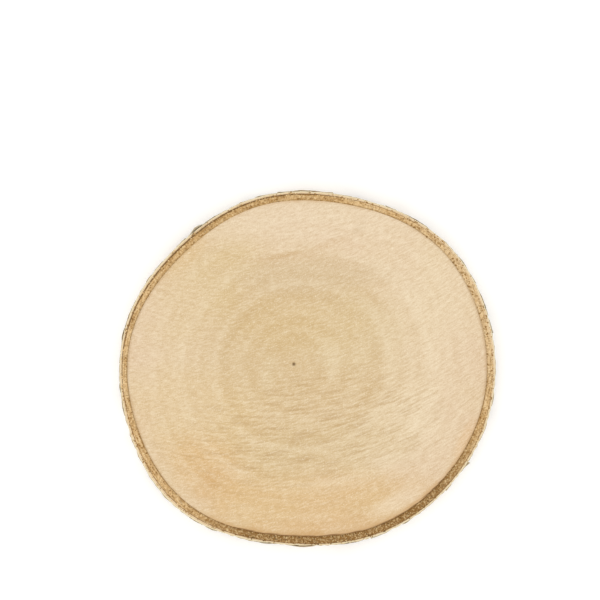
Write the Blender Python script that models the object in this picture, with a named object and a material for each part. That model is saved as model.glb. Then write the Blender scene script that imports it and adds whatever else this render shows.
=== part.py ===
"""Birch wood slice.

One sawn slice of a birch stem with its bark on: pale wood, a ring of brown inner bark and a white
papery outer bark, all grown together as a single body. It lies on one sawn face. +Z is up, -Y is
the front, and the origin is on the lower face, under the middle of the slice.
"""

import math
import random

import bmesh
import bpy
from mathutils import Vector, noise

MM = 0.001

# Driving dimensions, in metres
THICKNESS = 20 * MM
MEAN_RADIUS = 107.8 * MM
BARK_WIDTH = 5.4 * MM
BARK_WIDTH_SWING = 0.2 * MM
BARK_WIDEST_AT = math.radians(-90)
PAPER_WIDTH = 1.2 * MM
SHOULDER_WIDTH = 2.0 * MM

# The stem isn't round. Each wave is how many times it goes round the stem, its height, and where it crests.
OUTLINE_WAVES = (
    (1, 1.0 * MM, math.radians(-104)),
    (2, 3.4 * MM, math.radians(14)),
    (3, 0.6 * MM, math.radians(-28)),
    (4, 0.75 * MM, math.radians(39)),
    (5, 0.45 * MM, math.radians(21)),
    (6, 0.7 * MM, math.radians(-13)),
)

# Grown relief of the outer bark
PLATE_HEIGHT = 0.45 * MM
PLATE_LENGTH = 26 * MM
PLATE_RISE = 11 * MM
LENTICEL_HEIGHT = 0.7 * MM

# The sawn rim: the bark is softer than the wood, so it lies lower and its outer edge is worn round
GROOVE_WIDTH = 0.5 * MM
GROOVE_DEPTH = 0.35 * MM
BARK_SINK = 0.2 * MM
RIM_DROP = 1.3 * MM
RIM_WEAR = 0.4 * MM
UNDER_DROP = 1.0 * MM

# Pith: a pinhole in both sawn faces, a little off the middle
PITH = Vector((-8.4 * MM, 2.7 * MM))
PITH_RADIUS = 0.7 * MM
PITH_DEPTH = 0.9 * MM
PITH_SIDES = 8

COLUMNS = 156
SIDE_ROWS = 17
SEED = 7

FULL_TURN = 2 * math.pi
FRONT = math.radians(-90)

# Lenticels on the front, left to right: turn from the front in degrees, height, length and width in mm
FRONT_LENTICELS = (
    (-50.5, 4.7, 42, 2.8),
    (-36.7, 14.3, 27, 2.4),
    (-26.5, 2.3, 25, 2.6),
    (-15.2, 16.4, 24, 2.6),
    (-10, 9.2, 26, 2.6),
    (14, 16.4, 23, 3.2),
    (18.4, 2.6, 23, 1.8),
    (23.5, 8.6, 26, 1.9),
    (43.6, 12.6, 35, 2.4),
    (64, 5.0, 27, 1.7),
)
BACK_LENTICELS = 15

# Places where the rim's white edge has chipped off: turn from the front in degrees, length and depth in mm
RIM_CHIPS = (
    (-72, 16, 0.8),
    (-13, 15, 0.7),
    (2, 20, 0.9),
    (66, 18, 0.6),
    (128, 16, 0.7),
    (-141, 22, 0.8),
)

COLOURS = {
    "sawn_wood": ((0.76, 0.58, 0.35), 0.62),
    "inner_bark": ((0.44, 0.26, 0.12), 0.85),
    "outer_bark": ((0.68, 0.62, 0.50), 0.70),
    "lenticel": ((0.27, 0.15, 0.06), 0.85),
}


def outline(angle):
    """Distance from the origin to the bark's surface, before any relief."""
    swell = sum(height * math.cos(waves * (angle - crest)) for waves, height, crest in OUTLINE_WAVES)
    return MEAN_RADIUS + swell


def bark_width(angle):
    """Thickness of the whole bark, inner and outer."""
    return BARK_WIDTH + BARK_WIDTH_SWING * math.cos(angle - BARK_WIDEST_AT)


def arc_from(angle, centre):
    """Signed distance along the bark from one angle to another."""
    turn = (angle - centre + math.pi) % FULL_TURN - math.pi
    return turn * outline(centre)


def spindle(along, across, length, width):
    """1 in the middle of a lens shape with pointed ends, falling to 0 at its edge."""
    share = abs(2 * along / length)
    if share >= 1:
        return 0.0
    half_width = width / 2 * (1 - share**2)
    return max(0.0, 1 - (across / half_width) ** 2)


def all_lenticels():
    """The front's lenticels, then seeded ones round the back, as (angle, height, length, width)."""
    lenticels = [
        (FRONT + math.radians(turn), height * MM, length * MM, width * MM)
        for turn, height, length, width in FRONT_LENTICELS
    ]
    rows = (0.16, 0.5, 0.82, 0.33, 0.68)
    chance = random.Random(SEED)
    back_start, back_turn = FRONT + math.radians(82), math.radians(204)
    for i in range(BACK_LENTICELS):
        angle = back_start + back_turn * (i + chance.uniform(0.1, 0.9)) / BACK_LENTICELS
        height = THICKNESS * (rows[i % len(rows)] + chance.uniform(-0.05, 0.05))
        length = chance.uniform(16, 32) * MM
        width = chance.uniform(1.8, 3.0) * MM
        lenticels.append((angle, height, length, width))
    return lenticels


def lenticel_share(angle, height, lenticels):
    """How far up the nearest lenticel this place is, from 0 beside it to 1 on its crest."""
    return max(
        spindle(arc_from(angle, at), height - level, length, width) for at, level, length, width in lenticels
    )


def plates(angle, height):
    """The bark's slow swells: long round the stem, short up it."""
    turn = MEAN_RADIUS / PLATE_LENGTH
    place = Vector((turn * math.cos(angle), turn * math.sin(angle), height / PLATE_RISE))
    return PLATE_HEIGHT * noise.noise(place)


def rim_wear(angle):
    """How much lower than usual the worn outer edge is here."""
    turn = MEAN_RADIUS / PLATE_LENGTH
    wear = RIM_WEAR * noise.noise(Vector((turn * math.cos(angle), turn * math.sin(angle), 5.0)))
    for at, length, depth in RIM_CHIPS:
        share = abs(2 * arc_from(angle, FRONT + math.radians(at)) / (length * MM))
        wear += depth * MM * max(0.0, 1 - share**2)
    return wear


def ring(bm, radius, height):
    """A closed loop of vertices round the slice. radius and height are functions of the angle."""
    angles = [FULL_TURN * i / COLUMNS for i in range(COLUMNS)]
    return [
        bm.verts.new((radius(a) * math.cos(a), radius(a) * math.sin(a), height(a))) for a in angles
    ]


def skin(bm, upper, lower, material):
    """The band of faces between two loops."""
    faces = []
    for i in range(COLUMNS):
        j = (i + 1) % COLUMNS
        faces.append(bm.faces.new((lower[i], lower[j], upper[j], upper[i])))
    for face in faces:
        face.material_index = material
        face.smooth = True
    return faces


def upper_rim(bm):
    """Loops from the wood's edge out over the sawn bark to its worn outer edge."""

    def wood(a):
        return outline(a) - bark_width(a)

    def surface(a):
        return outline(a) + plates(a, THICKNESS)

    return [
        ring(bm, wood, lambda a: THICKNESS),
        ring(bm, lambda a: wood(a) + GROOVE_WIDTH, lambda a: THICKNESS - GROOVE_DEPTH),
        ring(bm, lambda a: wood(a) + 2 * GROOVE_WIDTH, lambda a: THICKNESS - BARK_SINK),
        ring(bm, lambda a: surface(a) - SHOULDER_WIDTH, lambda a: THICKNESS - BARK_SINK),
        ring(
            bm,
            lambda a: surface(a) - PAPER_WIDTH,
            lambda a: THICKNESS - (BARK_SINK + RIM_DROP + rim_wear(a)) / 2,
        ),
        ring(
            bm,
            lambda a: surface(a) - PAPER_WIDTH / 3,
            lambda a: THICKNESS - RIM_DROP - 0.7 * rim_wear(a),
        ),
    ]


def under_rim(bm):
    """Loops from the bark's lower outer edge in to the wood, just clear of the surface below."""

    def surface(a):
        return outline(a) + plates(a, 0)

    return [
        ring(bm, lambda a: surface(a) - PAPER_WIDTH / 3, lambda a: UNDER_DROP / 2),
        ring(bm, lambda a: surface(a) - PAPER_WIDTH, lambda a: BARK_SINK),
        ring(bm, lambda a: outline(a) - bark_width(a) + GROOVE_WIDTH, lambda a: BARK_SINK),
        ring(bm, lambda a: outline(a) - bark_width(a), lambda a: 0.0),
    ]


def bark_side(bm, lenticels):
    """Loops down the outside, pushed out by the plates and the lenticels."""
    loops = []
    for row in range(SIDE_ROWS):
        share = row / (SIDE_ROWS - 1)

        def height(a, share=share):
            top = THICKNESS - 1.6 * RIM_DROP - rim_wear(a)
            return top + (UNDER_DROP - top) * share

        def radius(a, height=height):
            level = height(a)
            raised = LENTICEL_HEIGHT * lenticel_share(a, level, lenticels)
            return outline(a) + plates(a, level) + raised

        loops.append(ring(bm, radius, height))
    return loops


def material(name):
    colour, roughness = COLOURS[name]
    made = bpy.data.materials.new(name)
    made.use_nodes = True
    shader = made.node_tree.nodes["Principled BSDF"]
    shader.inputs["Base Color"].default_value = (*colour, 1)
    shader.inputs["Roughness"].default_value = roughness
    shader.inputs["Metallic"].default_value = 0
    made.diffuse_color = (*colour, 1)
    return made


def paint_lenticels(faces, lenticels, index):
    """Gives the faces that lie on a lenticel its brown."""
    for face in faces:
        place = face.calc_center_median()
        if lenticel_share(math.atan2(place.y, place.x), place.z, lenticels) > 0.3:
            face.material_index = index


def make_slice():
    """The whole slice as one closed mesh."""
    wood, inner_bark, outer_bark, lenticel = range(len(COLOURS))
    lenticels = all_lenticels()
    bm = bmesh.new()
    upper = upper_rim(bm)
    side = bark_side(bm, lenticels)
    under = under_rim(bm)
    loops = upper + side + under
    first_side, last_side = len(upper), len(upper) + SIDE_ROWS - 1
    for i, (above, below) in enumerate(zip(loops, loops[1:])):
        on_side = first_side <= i < last_side
        faces = skin(bm, above, below, outer_bark if on_side else inner_bark)
        if on_side:
            paint_lenticels(faces, lenticels, lenticel)
    for loop in (upper[0], under[-1]):
        bm.faces.new(loop).material_index = wood
    bmesh.ops.recalc_face_normals(bm, faces=bm.faces)
    mesh = bpy.data.meshes.new("birch_slice")
    bm.to_mesh(mesh)
    bm.free()
    for name in COLOURS:
        mesh.materials.append(material(name))
    mesh.set_sharp_from_angle(angle=math.radians(40))
    made = bpy.data.objects.new("birch_slice", mesh)
    bpy.context.collection.objects.link(made)
    return made


def cut_pith(slice_object, name, level, opens_up):
    """A tapered pit at the pith, in the sawn face at this level."""
    narrow, wide = PITH_RADIUS / 4, PITH_RADIUS * 7 / 4
    bm = bmesh.new()
    bmesh.ops.create_cone(
        bm,
        cap_ends=True,
        segments=PITH_SIDES,
        radius1=narrow if opens_up else wide,
        radius2=wide if opens_up else narrow,
        depth=2 * PITH_DEPTH,
    )
    mesh = bpy.data.meshes.new(name)
    bm.to_mesh(mesh)
    bm.free()
    cutter = bpy.data.objects.new(name, mesh)
    bpy.context.collection.objects.link(cutter)
    cutter.location = (PITH.x, PITH.y, level)
    cutter.hide_render = True
    cutter.display_type = "WIRE"
    pit = slice_object.modifiers.new(name, "BOOLEAN")
    pit.operation = "DIFFERENCE"
    pit.object = cutter


def main():
    for old in list(bpy.data.objects):
        bpy.data.objects.remove(old)
    slice_object = make_slice()
    cut_pith(slice_object, "pith_pit_upper", THICKNESS, opens_up=True)
    cut_pith(slice_object, "pith_pit_lower", 0, opens_up=False)


main()
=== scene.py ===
"""Birch wood slice: its sawn wood, inner bark, white outer bark, lenticels and peeling paper.

Run as a script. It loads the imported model, dresses it piece by piece and lights it from above.
All the bark is laid out flat first, as one strip as long as the stem is round: X runs along it, Y is
how far it stands out from the stem, and Z is the height. Geometry Nodes then roll it round the stem.
"""

import math
import random

import bpy
import numpy as np
from bpy.props import FloatProperty, FloatVectorProperty, PointerProperty
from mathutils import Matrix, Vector, noise


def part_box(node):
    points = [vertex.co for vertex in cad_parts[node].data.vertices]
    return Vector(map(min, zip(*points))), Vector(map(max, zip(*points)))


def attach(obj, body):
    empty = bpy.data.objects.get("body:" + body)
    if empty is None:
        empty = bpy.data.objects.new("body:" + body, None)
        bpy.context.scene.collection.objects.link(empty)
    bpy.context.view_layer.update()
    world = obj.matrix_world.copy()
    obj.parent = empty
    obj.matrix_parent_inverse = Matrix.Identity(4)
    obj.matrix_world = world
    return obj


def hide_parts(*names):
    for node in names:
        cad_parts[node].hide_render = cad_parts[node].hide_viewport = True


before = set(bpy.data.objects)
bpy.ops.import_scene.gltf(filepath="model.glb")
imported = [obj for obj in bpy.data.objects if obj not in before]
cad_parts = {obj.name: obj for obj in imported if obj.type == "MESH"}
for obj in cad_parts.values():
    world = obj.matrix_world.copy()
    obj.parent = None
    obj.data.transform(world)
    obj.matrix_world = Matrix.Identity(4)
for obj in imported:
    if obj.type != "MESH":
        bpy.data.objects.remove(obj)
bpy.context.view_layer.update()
NODE = "birch_slice"
NODE_LOW, NODE_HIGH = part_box(NODE)

bl_info = {
    "name": "Birch Wood Slice",
    "version": (1, 0, 0),
    "blender": (4, 5, 0),
    "location": "View3D > Sidebar > Birch Slice",
    "description": "Dresses a sawn birch slice in wood, bark, lenticels and peeling paper",
    "category": "Object",
}

MM = 0.001
FULL_TURN = 2 * math.pi
FRONT = math.radians(-90)

# The stem's outline, as in the solid: times round the stem, height and where each wave crests
OUTLINE_WAVES = (
    (1, 1.0 * MM, math.radians(-104)),
    (2, 3.4 * MM, math.radians(14)),
    (3, 0.6 * MM, math.radians(-28)),
    (4, 0.75 * MM, math.radians(39)),
    (5, 0.45 * MM, math.radians(21)),
    (6, 0.7 * MM, math.radians(-13)),
)
# How the bark's width swells and narrows: times round the stem, share of the swing and where each crests
BARK_WAVES = (
    (1, 1.1, math.radians(-115)),
    (2, 0.55, math.radians(-65)),
    (3, 1.0, math.radians(-10)),
    (4, 0.9, math.radians(42)),
    (5, 0.55, math.radians(-1)),
    (6, 0.75, math.radians(-27)),
)
# Length of the bark's slow swells
PLATE_LENGTH = 26 * MM
# Points nearer to each other than this become one, which closes seams and poles
WELD = 0.002 * MM

# Lenticels on the front, left to right: turn from the front in degrees, then height, length and width
# in mm, and how dark the cork is, from 0 to 1
FRONT_LENTICELS = (
    (-50.5, 4.7, 42, 2.8, 0.6),
    (-36.7, 14.3, 27, 2.4, 0.45),
    (-26.5, 2.3, 25, 2.6, 0.15),
    (-15.2, 16.4, 24, 2.6, 0.4),
    (-10, 9.2, 26, 2.6, 0.3),
    (14, 16.4, 23, 3.2, 0.9),
    (18.4, 2.6, 23, 1.8, 0.5),
    (23.5, 8.6, 26, 1.9, 0.75),
    (43.6, 12.6, 35, 2.4, 0.4),
    (64, 5.0, 27, 1.7, 0.85),
)
BACK_LENTICELS = 15
LENTICEL_SEED = 7

# Places where the rim's white edge has chipped off: turn from the front in degrees, length, depth in mm
RIM_CHIPS = (
    (-72, 16, 0.8),
    (-13, 15, 0.7),
    (2, 20, 0.9),
    (66, 18, 0.6),
    (128, 16, 0.7),
    (-141, 22, 0.8),
)

# Kinds of node used often
MATH = "ShaderNodeMath"
VECTOR = "ShaderNodeVectorMath"
NOISE = "ShaderNodeTexNoise"
MIX = "ShaderNodeMix"
RANGE = "ShaderNodeMapRange"
SPLIT = "ShaderNodeSeparateXYZ"
JOIN = "ShaderNodeCombineXYZ"
MOVE = "GeometryNodeSetPosition"
KEEP = "GeometryNodeStoreNamedAttribute"
READ = "GeometryNodeInputNamedAttribute"
GROUP = "GeometryNodeGroup"
# Sockets of a Mix node that mixes colours, and of a random value that is one number
COLOUR_A, COLOUR_B, MIXED = 6, 7, 2
LEAST, MOST, DRAWN = 2, 3, 1


def linear(hex_colour):
    """An sRGB hex value such as #E4CEA7 as the linear colour that Blender's nodes take."""
    parts = [int(hex_colour[i : i + 2], 16) / 255 for i in (1, 3, 5)]
    return [c / 12.92 if c <= 0.04045 else ((c + 0.055) / 1.055) ** 2.4 for c in parts]


def paint(shade):
    """A hex value or a colour property as the four linear numbers that a colour socket takes."""
    return (*(linear(shade) if isinstance(shade, str) else shade), 1)


def colour_property(name, description, shade):
    return FloatVectorProperty(
        name=name, description=description, subtype="COLOR", size=3, min=0, max=1, default=linear(shade)
    )


def length_property(name, description, default):
    return FloatProperty(
        name=name, description=description, default=default, subtype="DISTANCE", unit="LENGTH"
    )


class BirchSizes(bpy.types.PropertyGroup):
    """Sizes of the slice."""

    thickness: length_property("Thickness", "Height between the sawn faces", NODE_HIGH.z - NODE_LOW.z)
    mean_radius: length_property("Mean radius", "Middle of the stem to the bark's surface", 0.1078)
    bark_width: length_property("Bark width", "Inner and outer bark together, on average", 0.0054)
    bark_swing: length_property("Bark swing", "How far the bark's width swells and narrows", 0.00026)
    paper_width: length_property("Paper width", "Thickness of the white outer bark", 0.001)
    rim_drop: length_property("Rim drop", "How far the worn outer edge lies under the sawn face", 0.001)
    plate_height: length_property("Plate height", "Height of the bark's slow swells", 0.00035)
    wrinkle_height: length_property("Wrinkle height", "Height of the bark's fine wrinkles", 0.00016)
    pith_x: length_property("Pith X", "Place of the pith", -0.0084)
    pith_y: length_property("Pith Y", "Place of the pith", 0.0027)
    saw_spacing: length_property("Saw mark spacing", "Distance from one saw mark to the next", 0.0015)
    saw_reach: length_property("Saw mark radius", "Radius of the arcs that the saw left", 0.197)
    saw_middle: length_property("Saw mark middle", "X where the arcs run level", -0.0295)


class BirchColours(bpy.types.PropertyGroup):
    """Colours of the slice."""

    sapwood: colour_property("Sapwood", "Pale wood of most of the face", "#DAC29B")
    blush: colour_property("Blush", "Pinker patches in the pale wood", "#DBC1A0")
    heart: colour_property("Heart", "Yellower wood round the pith", "#CEB386")
    inner_bark: colour_property("Inner bark", "Corky brown ring", "#CAA26C")
    paper: colour_property("Paper", "White outer bark", "#D2C8B0")
    cork: colour_property("Cork", "Lenticels", "#745122")


class BirchStage(bpy.types.PropertyGroup):
    """Camera and light."""

    lens: FloatProperty(
        name="Lens", description="Focal length in mm on a 36 mm sensor", default=122.9, unit="CAMERA"
    )
    distance: length_property("Camera distance", "Camera's height over the sawn face", 1.2)
    sky: FloatProperty(name="Sky", description="Strength of the light from all round", default=1.0)
    panel: FloatProperty(
        name="Panel", description="Power of the soft light overhead, in watts", default=4.0, unit="POWER"
    )


# Building blocks


def add_node(tree, kind, inputs=(), **settings):
    """Adds a node with its settings, and sets or links its inputs. A node as an input means its result."""
    node = tree.nodes.new(kind)
    for name, value in settings.items():
        setattr(node, name, value)
    for key, value in inputs.items() if isinstance(inputs, dict) else enumerate(inputs):
        if isinstance(value, bpy.types.Node):
            value = next(socket for socket in value.outputs if socket.enabled)
        if isinstance(value, bpy.types.NodeSocket):
            tree.links.new(value, node.inputs[key])
        elif value is not None:
            node.inputs[key].default_value = value
    return node


def new_group(name, inputs, output=("Geometry", "Geometry")):
    """An empty geometry group: its tree, its input sockets and the socket that its result goes into."""
    tree = bpy.data.node_groups.new(name, "GeometryNodeTree")
    for socket_name, kind, default in inputs:
        socket = tree.interface.new_socket(socket_name, in_out="INPUT", socket_type="NodeSocket" + kind)
        if default is not None:
            socket.default_value = default
    tree.interface.new_socket(output[0], in_out="OUTPUT", socket_type="NodeSocket" + output[1])
    return tree, tree.nodes.new("NodeGroupInput").outputs, tree.nodes.new("NodeGroupOutput").inputs[0]


def run_nodes(blank, tree, values):
    """Runs a geometry tree on a blank with these named inputs, and keeps the result as its own mesh."""
    modifier = blank.modifiers.new(tree.name, "NODES")
    modifier.node_group = tree
    for item in tree.interface.items_tree:
        if item.in_out == "INPUT" and item.name in values:
            modifier[item.identifier] = values[item.name]
    depsgraph = bpy.context.evaluated_depsgraph_get()
    shaped = bpy.data.meshes.new_from_object(
        blank.evaluated_get(depsgraph), preserve_all_data_layers=True, depsgraph=depsgraph
    )
    if not shaped.polygons:
        raise RuntimeError(f"{blank.name}: the tree made no faces")
    blank.modifiers.clear()
    blank.data = shaped
    shaped.name = blank.name


def lay_over(tree, colour, layers):
    """Lays shades over a colour in turn: (source, where it starts, where it is full, strength, shade)."""
    for source, start, full, strength, shade in layers:
        share = add_node(
            tree, RANGE, {"Value": source, "From Min": start, "From Max": full, "To Max": strength}
        )
        inputs = {"Factor": share, COLOUR_A: colour, COLOUR_B: paint(shade)}
        colour = add_node(tree, MIX, inputs, data_type="RGBA")
    return colour.outputs[MIXED]


def keep_values(tree, geometry, values, domain="POINT"):
    """Keeps numbers on a geometry, each under its own name."""
    for name, value in values.items():
        named = {"Geometry": geometry, "Name": name, "Value": value}
        geometry = add_node(tree, KEEP, named, data_type="FLOAT", domain=domain)
    return geometry


def new_material(name, specular, roughness):
    """A material, its tree, its shader and its object coordinates."""
    material = bpy.data.materials.new(name)
    material.use_nodes = True
    tree = material.node_tree
    shader = tree.nodes["Principled BSDF"]
    shader.inputs["Specular IOR Level"].default_value = specular
    shader.inputs["Roughness"].default_value = roughness
    return material, tree, shader, add_node(tree, "ShaderNodeTexCoord").outputs["Object"]


def add_object(name, mesh):
    made = bpy.data.objects.new(name, mesh)
    bpy.context.scene.collection.objects.link(made)
    return made


def mesh_of(name, points, faces=()):
    mesh = bpy.data.meshes.new(name)
    mesh.from_pydata(np.asarray(points).reshape(-1, 3), (), faces)
    mesh.update()
    return mesh


def store(mesh, name, values, kind="FLOAT"):
    """Keeps a number or a vector for each vertex under a name that nodes and materials can read."""
    layer = mesh.attributes.new(name, kind, "POINT")
    layer.data.foreach_set("value" if kind == "FLOAT" else "vector", np.ravel(values).astype(np.float32))


def finish_piece(piece):
    piece.data.polygons.foreach_set("use_smooth", [True] * len(piece.data.polygons))
    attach(piece, "root")
    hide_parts(NODE)


# The stem's rules, in numbers


def outline(angle, sizes):
    return sizes.mean_radius + sum(h * np.cos(k * (angle - crest)) for k, h, crest in OUTLINE_WAVES)


def noise_round(angle, length, level, sizes):
    """Soft noise, about -1 to 1, without a seam round the stem. length is a swell's, level is a seed."""
    turn = sizes.mean_radius / length
    places = np.stack([turn * np.cos(angle), turn * np.sin(angle), np.full_like(angle, level)], axis=-1)
    return np.array([noise.noise(Vector(place)) for place in places])


def arc_from(angle, centre, sizes):
    """Signed distance along the bark from one angle to others."""
    turn = (angle - centre + math.pi) % FULL_TURN - math.pi
    return turn * outline(centre, sizes)


def rim_wear(angle, sizes):
    """How much lower than usual the worn outer edge is here."""
    wear = 0.4 * MM * noise_round(angle, PLATE_LENGTH, 5.0, sizes)
    wear = wear + 0.22 * MM * noise_round(angle, 5 * MM, 9.0, sizes)
    for at, length, depth in RIM_CHIPS:
        share = np.abs(2 * arc_from(angle, FRONT + math.radians(at), sizes) / (length * MM))
        wear = wear + depth * MM * np.clip(1 - share**2, 0, None)
    return wear


def all_lenticels(sizes):
    """The front's lenticels, then seeded ones round the back: (angle, height, length, width, darkness)."""
    lenticels = [
        (FRONT + math.radians(turn), height * MM, length * MM, width * MM, dark)
        for turn, height, length, width, dark in FRONT_LENTICELS
    ]
    rows = (0.16, 0.5, 0.82, 0.33, 0.68)
    chance = random.Random(LENTICEL_SEED)
    back_start, back_turn = FRONT + math.radians(82), math.radians(204)
    for i in range(BACK_LENTICELS):
        angle = back_start + back_turn * (i + chance.uniform(0.1, 0.9)) / BACK_LENTICELS
        height = sizes.thickness * (rows[i % len(rows)] + chance.uniform(-0.05, 0.05))
        length = chance.uniform(16, 32) * MM
        width = chance.uniform(1.8, 3.0) * MM
        lenticels.append((angle, height, length, width, 0.3 + 0.6 * (i * 7 % 10) / 10))
    return lenticels


# Bark laid out flat, and the groups that all its trees share

ROLL_SOCKETS = (
    ("Geometry", "Geometry", None),
    ("Mean radius", "Float", 0.1),
    ("Bark width", "Float", 0.005),
    ("Bark swing", "Float", 0.001),
)
RELIEF_SOCKETS = (("Plate height", "Float", 0.0004), ("Wrinkle height", "Float", 0.0001))
BARK_SOCKETS = (*ROLL_SOCKETS, *RELIEF_SOCKETS, ("Material", "Material", None))


def flat_strip(name, depths, heights, columns, sizes):
    """A closed band of bark laid out flat. depths and heights hold a row for each point of its section."""
    rows = len(heights)
    along = np.tile(np.linspace(0, FULL_TURN * sizes.mean_radius, columns + 1), (rows, 1))
    points = np.stack([along, -np.array(depths), np.array(heights)], axis=-1)
    row, column = np.meshgrid(np.arange(rows), np.arange(columns), indexing="ij")
    here = row * (columns + 1) + column
    below = (row + 1) % rows * (columns + 1) + column
    faces = np.stack([here, here + 1, below + 1, below], axis=-1).reshape(-1, 4)
    return mesh_of(name, points, faces.tolist()), points


def outline_group():
    """Angle in, distance from the middle to the bark's surface out."""
    tree, sockets, result = new_group(
        "Stem outline", (("Angle", "Float", 0), ("Mean radius", "Float", 0.1)), ("Radius", "Float")
    )
    total = sockets["Mean radius"]
    for waves, height, crest in OUTLINE_WAVES:
        phase = add_node(tree, MATH, (sockets["Angle"], waves, -waves * crest), operation="MULTIPLY_ADD")
        wave = add_node(tree, MATH, (phase,), operation="COSINE")
        total = add_node(tree, MATH, (wave, height, total), operation="MULTIPLY_ADD")
    tree.links.new(total.outputs[0], result)
    return tree


def bark_width_group():
    """Angle in, width of the whole bark out."""
    tree, sockets, result = new_group(
        "Bark width",
        (("Angle", "Float", 0), ("Bark width", "Float", 0.005), ("Bark swing", "Float", 0.001)),
        ("Width", "Float"),
    )
    swell = 0.0
    for waves, share, crest in BARK_WAVES:
        phase = add_node(tree, MATH, (sockets["Angle"], waves, -waves * crest), operation="MULTIPLY_ADD")
        wave = add_node(tree, MATH, (phase,), operation="COSINE")
        swell = add_node(tree, MATH, (wave, share, swell), operation="MULTIPLY_ADD")
    width = add_node(
        tree, MATH, (swell, sockets["Bark swing"], sockets["Bark width"]), operation="MULTIPLY_ADD"
    )
    tree.links.new(width.outputs[0], result)
    return tree


def stem_at(tree, sockets, angle):
    """The distance from the middle to the bark's surface, and the bark's width, at an angle."""
    radius = add_node(
        tree,
        GROUP,
        {"Angle": angle, "Mean radius": sockets["Mean radius"]},
        node_tree=shared("Stem outline", outline_group),
    )
    width = add_node(
        tree,
        GROUP,
        {"Angle": angle, "Bark width": sockets["Bark width"], "Bark swing": sockets["Bark swing"]},
        node_tree=shared("Bark width", bark_width_group),
    )
    return radius, width


def roll_group():
    """Rolls flat bark round the stem. Depth into the bark stretches where the bark is wider."""
    tree, sockets, result = new_group("Roll round the stem", ROLL_SOCKETS)
    flat = add_node(tree, SPLIT, (add_node(tree, "GeometryNodeInputPosition"),)).outputs
    angle = add_node(tree, MATH, (flat["X"], sockets["Mean radius"]), operation="DIVIDE")
    radius, width = stem_at(tree, sockets, angle)
    stretch = add_node(tree, MATH, (width, sockets["Bark width"]), operation="DIVIDE")
    reach = add_node(tree, MATH, (flat["Y"], stretch, radius), operation="MULTIPLY_ADD")
    cosine = add_node(tree, MATH, (angle,), operation="COSINE")
    sine = add_node(tree, MATH, (angle,), operation="SINE")
    x = add_node(tree, MATH, (reach, cosine), operation="MULTIPLY")
    y = add_node(tree, MATH, (reach, sine), operation="MULTIPLY")
    place = add_node(tree, JOIN, (x, y, flat["Z"]))
    rolled = add_node(tree, MOVE, {"Geometry": sockets["Geometry"], "Position": place})
    merged = add_node(tree, "GeometryNodeMergeByDistance", {"Geometry": rolled, "Distance": WELD})
    outward = add_node(tree, "GeometryNodeFlipFaces", {"Mesh": merged})
    tree.links.new(outward.outputs[0], result)
    return tree


def relief_group():
    """How far the bark's surface stands out here: plates 26 mm long, wrinkles of 7 mm and paper grain."""
    tree, sockets, result = new_group("Bark relief", RELIEF_SOCKETS, ("Offset", "Vector"))
    position = add_node(tree, "GeometryNodeInputPosition")
    level = add_node(tree, VECTOR, (position, (1, 1, 0)), operation="MULTIPLY")
    outward = add_node(tree, VECTOR, (level,), operation="NORMALIZE")
    total = 0.0
    for along, up, height in (
        (PLATE_LENGTH, 11 * MM, sockets["Plate height"]),
        (7 * MM, 1.1 * MM, sockets["Wrinkle height"]),
        (2.2 * MM, 2.6 * MM, sockets["Wrinkle height"]),
    ):
        scaled = add_node(tree, VECTOR, (position, (1 / along, 1 / along, 1 / up)), operation="MULTIPLY")
        swells = add_node(tree, NOISE, {"Vector": scaled, "Scale": 1.0, "Detail": 2.0})
        centred = add_node(tree, MATH, (swells, 2.0, -1.0), operation="MULTIPLY_ADD")
        total = add_node(tree, MATH, (centred, height, total), operation="MULTIPLY_ADD")
    offset = add_node(tree, VECTOR, {0: outward, "Scale": total}, operation="SCALE")
    tree.links.new(offset.outputs[0], result)
    return tree


def shared(name, builder):
    """A group that several trees use, built the first time it is asked for."""
    return bpy.data.node_groups.get(name) or builder()


def bark_values(sizes, material):
    return {
        "Mean radius": sizes.mean_radius,
        "Bark width": sizes.bark_width,
        "Bark swing": sizes.bark_swing,
        "Plate height": sizes.plate_height,
        "Wrinkle height": sizes.wrinkle_height,
        "Material": material,
    }


def roll_up(tree, sockets, geometry):
    """Rolls flat bark round the stem."""
    names = ("Mean radius", "Bark width", "Bark swing")
    inputs = {"Geometry": geometry, **{name: sockets[name] for name in names}}
    return add_node(tree, GROUP, inputs, node_tree=shared("Roll round the stem", roll_group))


def raise_relief(tree, sockets, geometry):
    """Moves rolled bark out and in with the surface's own relief."""
    names = ("Plate height", "Wrinkle height")
    offset = add_node(
        tree, GROUP, {name: sockets[name] for name in names}, node_tree=shared("Bark relief", relief_group)
    )
    return add_node(tree, MOVE, {"Geometry": geometry, "Offset": offset})


def along_normal(tree, geometry, height):
    """Moves a surface along its own normal by a height."""
    normal = add_node(tree, "GeometryNodeInputNormal")
    offset = add_node(tree, VECTOR, {0: normal, "Scale": height}, operation="SCALE")
    return add_node(tree, MOVE, {"Geometry": geometry, "Offset": offset})


def end_tree(tree, sockets, geometry, result):
    real = add_node(tree, "GeometryNodeRealizeInstances", {"Geometry": geometry})
    painted = add_node(
        tree, "GeometryNodeSetMaterial", {"Geometry": real, "Material": sockets["Material"]}
    )
    tree.links.new(painted.outputs[0], result)


# Sawn wood


def crowded(places, centre, reach):
    """Draws evenly spaced places together round a centre, to 0.28 of their spacing, for fine detail."""
    offset = places - centre
    return places - 0.72 * offset * np.exp(-((offset / reach) ** 2))


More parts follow.
